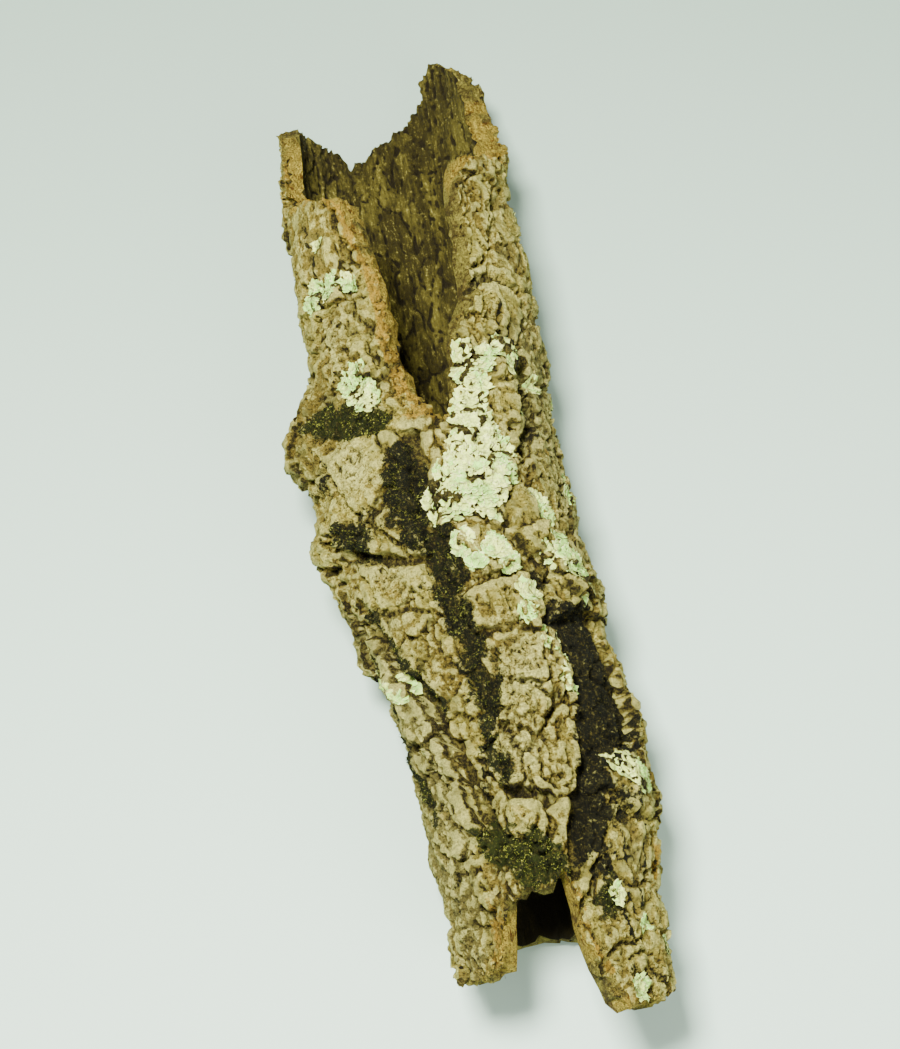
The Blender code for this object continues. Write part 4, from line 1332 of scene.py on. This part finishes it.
# Grit and speck also drive the bump, so the colour is painted lighter on its tops and darker in its
# hollows: grain, and painted shade.
colour = torn_finish.shade(colour, 0.36 + 0.4 * grit + 0.35 * speck + 0.2 * streaks)
# Painted shade: the hollows of the grit and speck bump are painted dark.
colour = torn_finish.mix(torn_finish.step(grit + 0.5 * speck, 0.4, 0.1) * 0.8, colour, DIRT_AND_SHADE)
relief = torn_finish.bump(grit, 0.9, 1.0)
relief = torn_finish.bump(speck, 0.4, 0.9, relief)
torn_finish.finish(Base_Color=colour, Roughness=0.86, Normal=relief, Specular_IOR_Level=DULL)
print("torn cork:", len(torn_finish.tree.nodes), "nodes")

# %% Smooth shading that keeps sharp breaks
SHARP_ANGLE = math.radians(48)
pick(bark)
bpy.ops.object.shade_smooth_by_angle(angle=SHARP_ANGLE)
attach(bark, "root")
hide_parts("cork_bark")
print("bark rides on root")

# %% [markdown]
# ## Leafy lichen
#
# The pale crusts are leafy lichens: thin lobes a few millimetres wide that grow outwards,
# overlap like shingles and curl up at their rims, so that dark gaps show between them. One lobe
# is modelled as a disc with a scalloped rim, and each crust is many copies of it, turned,
# stretched and laid down on the bark's own relief inside the crust's outline. A painted crust
# would lie flat, and it is the small shadows under the rims that make lichen look alive.

# %% One lobe
LOBE_SIDES = 11
LOBE_INSET = 0.36                       # these two are shares of the lobe's half width
LOBE_THICKNESS = 0.10
deselect_all()
bpy.ops.mesh.primitive_circle_add(vertices=LOBE_SIDES, radius=1.0, fill_type="NGON")
lobe = bpy.context.object
lobe.name = "lobe"
bpy.ops.object.mode_set(mode="EDIT")
bpy.ops.mesh.select_all(action="SELECT")
bpy.ops.mesh.inset(thickness=LOBE_INSET)
bpy.ops.mesh.poke()
bpy.ops.object.mode_set(mode="OBJECT")
thick = lobe.modifiers.new("Thick", "SOLIDIFY")
thick.thickness = LOBE_THICKNESS
thick.offset = 0.0
apply_modifier(lobe, thick)
lobe_points = mesh_points(lobe.data)
lobe_faces = [tuple(face.vertices) for face in lobe.data.polygons]
bpy.data.objects.remove(lobe)
print("a lobe:", len(lobe_points), "vertices,", len(lobe_faces), "faces")


# %% A crust of lobes
def copies(name, points, faces, count, spots):
    """One mesh of many copies of a small form: spots holds every copy's vertices in turn."""
    width = len(points)
    corners = np.concatenate([np.asarray(face) for face in faces])
    totals = np.array([len(face) for face in faces])
    shift = np.arange(count) * width
    vertices = (corners[None, :] + shift[:, None]).ravel()
    lengths = np.tile(totals, count)
    mesh = bpy.data.meshes.new(name)
    mesh.vertices.add(count * width)
    mesh.loops.add(len(vertices))
    mesh.polygons.add(len(lengths))
    mesh.vertices.foreach_set("co", np.ascontiguousarray(spots, float).ravel())
    mesh.loops.foreach_set("vertex_index", vertices)
    mesh.polygons.foreach_set("loop_start", np.concatenate([[0], np.cumsum(lengths)[:-1]]))
    mesh.update(calc_edges=True)
    mesh.validate()
    piece = bpy.data.objects.new(name, mesh)
    bpy.context.scene.collection.objects.link(piece)
    return piece


def scatter(outlines, spacing, draw, ragged=2.0):
    """Random places inside outlines, no nearer to each other than the spacing."""
    found = []
    for outline in outlines:
        corners = np.array(outline, float)
        low, high = corners.min(axis=0) - 4, corners.max(axis=0) + 4
        size = (high - low) * (MM_PER_DEGREE, 1.0)
        tries = int(size[0] * size[1] / spacing**2 * 5) + 20
        guess = low + draw.random((tries, 2)) * (high - low)
        reach = reach_inside(outline, guess[:, 0], guess[:, 1])
        wave = ragged * rough(guess[:, 0], guess[:, 1], 5.0, 3, 131.0)
        for around, along in guess[reach + wave > 0]:
            if all(math.hypot((around - a) * MM_PER_DEGREE, along - b) > spacing
                   for a, b in found[-900:]):
                found.append((around, along))
    return np.array(found)


LAID_REACH = 1.6                        # mm each way that the bark is softened under a lobe
SCALLOPS = ((3, 0.17), (5, 0.13), (7, 0.08))    # waves around a lobe's rim, and their height
LOBE_SIZES = (0.6, 1.3)
LOBE_STRETCH = (0.85, 1.5)
LOBE_TURN = 0.7                         # how far, in radians, a lobe turns from straight out
LOBE_LIFT = 0.45                        # mm off the bark
LOBE_ORDER = (0.0, 0.6)                 # mm that one lobe may lie over the next
CURL = 0.20                             # rise of the rim, and of the front, per half width
RAMP = 0.30
GAP_NOISE = (1.0, 4.5, 3, 141.0)
GAP_LEVEL = 0.62
soft_height = outside.blurred(layers["height"], LAID_REACH)


def crust(name, outlines, half_width, spacing, seed, gaps):
    """A lichen: lobes that grow outwards from the middle of their outlines."""
    draw = np.random.default_rng(seed)
    spots = scatter(outlines, spacing, draw)
    strength, grain, octaves, shift = GAP_NOISE
    holes = layer(spots[:, 0], spots[:, 1], (strength, grain, octaves, shift + seed))
    spots = spots[holes < GAP_LEVEL - gaps]
    count = len(spots)
    reach = np.max([reach_inside(outline, spots[:, 0], spots[:, 1]) for outline in outlines],
                   axis=0)
    step = 1.5
    ahead = [np.max([reach_inside(outline, spots[:, 0] + step * right / MM_PER_DEGREE,
                                  spots[:, 1] + step * up) for outline in outlines], axis=0)
             for right, up in ((1, 0), (0, 1))]
    heading = np.arctan2(reach - ahead[1], reach - ahead[0]) + draw.normal(0, LOBE_TURN, count)
    size = half_width * draw.uniform(*LOBE_SIZES, count)
    stretch = draw.uniform(*LOBE_STRETCH, count)
    phase = draw.uniform(0, 2 * math.pi, (count, 3))

    x, y, z = lobe_points.T
    angle = np.arctan2(y, x)
    rim = np.hypot(x, y)
    scallop = 1 + rim * sum(height * np.sin(waves * angle + phase[:, [index]])
                            for index, (waves, height) in enumerate(SCALLOPS))
    forward = x * scallop * stretch[:, None] * size[:, None]
    sideways = y * scallop * size[:, None]
    run = np.cos(heading)[:, None] * forward - np.sin(heading)[:, None] * sideways
    rise = np.sin(heading)[:, None] * forward + np.cos(heading)[:, None] * sideways
    around = spots[:, :1] + run / MM_PER_DEGREE
    along = spots[:, 1:] + rise
    bark_here = outside.read(soft_height, around.ravel(), along.ravel()).reshape(around.shape)
    curl = CURL * rim**3 * (1 + np.sin(4 * angle + phase[:, [1]])) * size[:, None]
    order = draw.uniform(*LOBE_ORDER, count)[:, None]
    out = bark_here + LOBE_LIFT + curl + RAMP * forward + order + z * size[:, None]
    points = place(around, along, out)
    piece = copies(name, lobe_points, lobe_faces, count, points.reshape(-1, 3))
    keep(piece, "rim", np.tile(rim, count))
    keep(piece, "top", np.tile((z > 0).astype(float), count))
    keep(piece, "lobe", np.repeat(draw.random(count), len(x)))
    keep(piece, "front", np.tile(x, count))
    print(name, count, "lobes,", triangle_count(piece), "triangles")
    return piece


crusts = {name: crust(name + "_lobes", *settings[:3], seed=20 + index, gaps=settings[3])
          for index, (name, settings) in enumerate(CRUSTS.items())}
print(sum(triangle_count(piece) for piece in crusts.values()), "triangles of lichen")

# %% Smaller crusts
# Around, along, half size in mm
BITS = (
    (-2, 208, 4.5), (1, 199, 3.5), (11, 203, 5.5), (17, 197, 4.0), (20, 181, 5.5),
    (16, 172, 3.5), (42, 228, 5.0), (47, 222, 4.0), (44, 210, 4.5), (80, 247, 5.0),
    (76, 240, 4.0), (59, 292, 3.5), (42, 272, 3.0), (45, 34, 2.6), (62, 25, 3.6),
    (36, 7, 4.5), (29, 47, 3.4), (27, 163, 3.0), (24, 158, 4.5), (29, 150, 4.0),
    (25, 139, 3.5), (30, 138, 2.6), (-62, 158, 5.0), (-56, 152, 4.0), (96, 300, 6.0),
    (120, 220, 7.0), (134, 200, 5.0), (108, 130, 6.0), (-100, 330, 6.0), (-124, 240, 7.0),
    (-96, 170, 5.0), (150, 360, 6.0), (-150, 300, 6.0), (92, 402, 4.0), (70, 388, 2.6),
)


def round_outline(around, along, half_size, corners=9):
    turns = np.arange(corners) * 2 * math.pi / corners
    return tuple((around + half_size * math.cos(turn) / MM_PER_DEGREE,
                  along + half_size * math.sin(turn)) for turn in turns)


small_crusts = crust("lichen_bits", [round_outline(*bit) for bit in BITS], 1.7, 1.3, seed=40,
                     gaps=0.06)
print("small crusts:", len(BITS))

# %% Lichen's finish
LICHEN_CREAM = tint(230, 248, 126)
LICHEN_MINT = tint(172, 226, 102)
LICHEN_HIGHLIGHT = tint(252, 255, 180)
LICHEN_DARK = tint(42, 36, 16)


def lichen_finish(name, mint):
    """Mint and cream lobes, with rims painted pale as highlight, backs painted darker as age and overlap
    shade, and dark undersides.
    """
    finish = Finish(bpy.data.materials.new(name))
    rim, top, lobe, front = [finish.attribute(mask) for mask in ("rim", "top", "lobe", "front")]
    mottle = finish.grain(1.6, 4.0, 0.65)
    speck = finish.grain(0.5, 2.0, 0.6)
    cloud = finish.grain(12.0, 3.0, 0.5)
    share = finish.step(cloud + 0.5 * lobe + mint, 0.6, 1.15)
    colour = finish.mix(share, LICHEN_CREAM, LICHEN_MINT)
    # Painted highlight: the curled rims of the lobes are painted pale.
    colour = finish.mix(finish.step(rim + 0.4 * mottle, 0.95, 1.25) * 0.8, colour, LICHEN_HIGHLIGHT)
    # Mottle also drives the bump, so each lobe is painted lighter on its tops and darker in its hollows,
    # grain and painted shade, and the lobe number gives each lobe its own tone.
    colour = finish.shade(colour, 0.64 + 0.45 * mottle + 0.45 * lobe)
    # The back of each lobe is painted darker: the older part of the lobe, and painted shade where the
    # neighbouring lobe lies over it.
    age_and_overlap_shade = finish.step(0.7 * mottle + 0.3 * speck - 0.8 * front, 0.4, 1.1)
    colour = finish.mix(age_and_overlap_shade * 0.62, colour, LICHEN_DARK)
    # Painted shade: the hollows of the mottle and speck bump are painted dark.
    colour = finish.mix(finish.step(mottle + 0.4 * speck, 0.30, 0.08) * 0.8, colour, LICHEN_DARK)
    colour = finish.mix(finish.step(top, 0.75, 0.35) * 0.9, colour, LICHEN_DARK)
    relief = finish.bump(mottle, 0.6, 0.8)
    relief = finish.bump(speck, 0.3, 0.7, relief)
    finish.finish(Base_Color=colour, Roughness=0.8 + 0.1 * speck, Normal=relief,
                  Specular_IOR_Level=DULL)
    return finish.material


mint_finish = lichen_finish("mint_lichen", 0.2)
cream_finish = lichen_finish("cream_lichen", 0.0)
for name, piece in crusts.items():
    pale = name in ("lichen_left", "lichen_flange", "lichen_tongue")
    piece.data.materials.append(mint_finish if pale else cream_finish)
    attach(piece, "root")
    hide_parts(name)
small_crusts.data.materials.append(mint_finish)
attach(small_crusts, "root")
print("lichen rides on root")

# %% [markdown]
# ## Moss
#
# Moss keeps to the damp, shaded places: the long furrow, the hollow under the brow and the rim
# of the arch. From a step away it is a dark felt with bright tips. A hair system would not
# survive as a mesh, so every leaf is a three-sided needle, and they stand in tufts that are
# thickest where the moss mask is strongest.

# %% One leaf
deselect_all()
bpy.ops.mesh.primitive_cone_add(vertices=3, radius1=1.0, radius2=0.0, depth=1.0)
leaf = bpy.context.object
leaf_points = mesh_points(leaf.data) + (0, 0, 0.5)
leaf_faces = [tuple(face.vertices) for face in leaf.data.polygons]
bpy.data.objects.remove(leaf)
print("a leaf:", len(leaf_points), "vertices,", len(leaf_faces), "faces")

# %% Tufts on the bark
TUFT_LEAVES = 6
LEAF_WIDTH = (0.16, 0.30)
LEAF_SPREAD = 0.55                      # how far leaves lean apart
LEAF_JITTER = 0.25                      # mm between the leaves of one tuft
LEAF_SUNK = 0.4                         # mm that a leaf starts below the bark


def grow(name, weights, tufts, length, seed):
    """Tufts of leaves on the bark, where the weights of its vertices are highest."""
    draw = np.random.default_rng(seed)
    mesh = bark.data
    points = mesh_points(mesh)
    mesh.calc_loop_triangles()
    corners = np.empty(len(mesh.loop_triangles) * 3, int)
    mesh.loop_triangles.foreach_get("vertices", corners)
    corners = corners.reshape(-1, 3)
    normals = np.empty(len(mesh.vertices) * 3)
    mesh.vertices.foreach_get("normal", normals)
    normals = normals.reshape(-1, 3)
    a, b, c = [points[corners[:, side]] for side in range(3)]
    area = np.linalg.norm(np.cross(b - a, c - a), axis=1)
    share = area * weights[corners].mean(axis=1)
    chosen = draw.choice(len(corners), tufts, p=share / share.sum())
    blend = draw.dirichlet((1, 1, 1), tufts)
    roots = (points[corners[chosen]] * blend[:, :, None]).sum(axis=1)
    upright = (normals[corners[chosen]] * blend[:, :, None]).sum(axis=1)

    count = tufts * TUFT_LEAVES
    roots = np.repeat(roots, TUFT_LEAVES, axis=0) + draw.normal(0, LEAF_JITTER * MM, (count, 3))
    heading = np.repeat(upright, TUFT_LEAVES, axis=0) + draw.normal(0, LEAF_SPREAD, (count, 3))
    heading /= np.linalg.norm(heading, axis=1)[:, None]
    side = np.cross(heading, draw.normal(0, 1, (count, 3)))
    side /= np.linalg.norm(side, axis=1)[:, None]
    other = np.cross(heading, side)
    tall = draw.uniform(*length, count) * MM
    wide = draw.uniform(*LEAF_WIDTH, count) * MM
    x, y, z = leaf_points.T
    spots = (roots[:, None, :] - heading[:, None, :] * LEAF_SUNK * MM
             + side[:, None, :] * (x[None, :, None] * wide[:, None, None])
             + other[:, None, :] * (y[None, :, None] * wide[:, None, None])
             + heading[:, None, :] * (z[None, :, None] * tall[:, None, None]))
    spots[:, :, 2] = np.maximum(spots[:, :, 2], 0.0)
    piece = copies(name, leaf_points, leaf_faces, count, spots.reshape(-1, 3))
    keep(piece, "tip", np.tile(z, count))
    keep(piece, "leaf", np.repeat(draw.random(count), len(z)))
    print(name, count, "leaves,", triangle_count(piece), "triangles")
    return piece


CLUMPS = (1.6, 4.0, 3, 151.0)
bark_masks = masks(bark_around, bark_along)
clumps = smooth(0.5 + layer(bark_around, bark_along, CLUMPS))
alive = np.where(outer, bark_masks["moss"]**1.5 * (0.05 + clumps), 0.0)
bright = alive * bark_masks["green"]
green_moss = grow("moss_green", bright**1.5, 2000, (0.8, 2.0), seed=51)
dark_moss = grow("moss_dark", alive * (1.0 - bark_masks["green"]), 4800, (0.6, 1.6), seed=52)
felt = np.where(outer, bark_masks["soot"] * (1.0 - 0.5 * bark_masks["moss"]), 0.0)
soot_moss = grow("moss_soot", felt**2 * (0.1 + clumps), 3000, (0.4, 1.0), seed=53)


# %% Moss finishes
def moss_finish(name, root, middle, tip):
    """Dark at the root and brighter towards the tip, each leaf a little different."""
    finish = Finish(bpy.data.materials.new(name))
    height, leaf = finish.attribute("tip"), finish.attribute("leaf")
    patch = finish.grain(5.0, 3.0, 0.6)
    colour = finish.mix(finish.step(height, 0.2, 0.9), root, middle)
    colour = finish.mix(finish.step(0.5 * height + leaf + 0.3 * patch, 1.2, 1.5), colour, tip)
    colour = finish.shade(colour, 0.5 + 0.7 * leaf)
    finish.finish(Base_Color=colour, Roughness=0.7 + 0.2 * leaf, Specular_IOR_Level=DULL)
    return finish.material


for piece, look in (
        (green_moss, ((14, 17, 3), (48, 58, 10), (196, 200, 84))),
        (dark_moss, ((8, 9, 2), (28, 32, 7), (140, 142, 60))),
        (soot_moss, ((9, 9, 2), (26, 25, 6), (130, 122, 58)))):
    piece.data.materials.append(moss_finish(piece.name, *[tint(*colour) for colour in look]))
    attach(piece, "root")
print("moss rides on root")

# %% [markdown]
# ## Floor, light and camera
#
# The floor and the light are only there to show the bark: a pale sheet that reaches past the
# picture on every side, painted darker towards the far side as the fall-off of the light, and
# large soft lamps. The camera looks down on the log, which lies on the floor, from the angle
# that shows its notch and its two legs.

# %% Stage
CAMERA_AZIMUTH = -10.0
CAMERA_ELEVATION = 66.0
CAMERA_DISTANCE = 1.06
CAMERA_AIM = Vector((0.0016, -0.018, 0.05))
SENSOR = 36.0                           # mm
PICTURE_HEIGHT = 1049
FOCAL_PIXELS = 2250.0
FLOOR_SIZE = 6.0
FLOOR_NEAR = (0.64, 0.84, 0.75)         # the sheet is painted darker towards the far side, as the fall-off of the light
FLOOR_FAR = (0.33, 0.46, 0.39)
FLOOR_FADE = (-0.45, 0.48)


def aim(holder, spot):
    """Turns a camera or a lamp so that it looks at a spot."""
    holder.rotation_euler = (spot - holder.location).to_track_quat("-Z", "Y").to_euler()


deselect_all()
bpy.ops.mesh.primitive_plane_add(size=FLOOR_SIZE, location=(0, 0, 0))
floor = bpy.context.object
floor.name = floor.data.name = "floor"
floor_finish = Finish(bpy.data.materials.new("floor"))
away = floor_finish.node("ShaderNodeSeparateXYZ", None, {"Vector": floor_finish.where},
                         output="Y")
sheet = floor_finish.mix(floor_finish.step(away, *FLOOR_FADE), FLOOR_NEAR, FLOOR_FAR)
floor_finish.finish(Base_Color=sheet, Roughness=0.7)
floor.data.materials.append(floor_finish.material)

azimuth, elevation = math.radians(CAMERA_AZIMUTH), math.radians(CAMERA_ELEVATION)
back = Vector((math.sin(azimuth) * math.cos(elevation), -math.cos(azimuth) * math.cos(elevation),
               math.sin(elevation)))
camera = bpy.data.objects.new("camera", bpy.data.cameras.new("camera"))
bpy.context.scene.collection.objects.link(camera)
camera.data.sensor_width = SENSOR
camera.data.lens = SENSOR * FOCAL_PIXELS / PICTURE_HEIGHT
camera.location = CAMERA_AIM + CAMERA_DISTANCE * back
aim(camera, CAMERA_AIM)
bpy.context.scene.camera = camera
print("camera at", [round(c, 3) for c in camera.location])

# %% Soft light
# Place, size, watts, colour
LAMPS = {
    "key": ((-0.26, -0.04, 1.30), 0.30, 57.0, (1.0, 0.99, 0.88)),
    "fill": ((0.45, -0.95, 0.80), 0.9, 13.0, (0.98, 1.0, 0.90)),
}
SKY = ((0.88, 0.95, 0.87), 0.27)

for name, (location, size, watts, colour) in LAMPS.items():
    lamp = bpy.data.objects.new(name, bpy.data.lights.new(name, "AREA"))
    bpy.context.scene.collection.objects.link(lamp)
    lamp.data.size = size
    lamp.data.energy = watts
    lamp.data.color = colour
    lamp.location = location
    aim(lamp, CAMERA_AIM)

world = bpy.data.worlds.new("studio")
world.use_nodes = True
world.node_tree.nodes["Background"].inputs["Color"].default_value = (*SKY[0], 1.0)
world.node_tree.nodes["Background"].inputs["Strength"].default_value = SKY[1]
bpy.context.scene.world = world
print(len(LAMPS), "lamps")
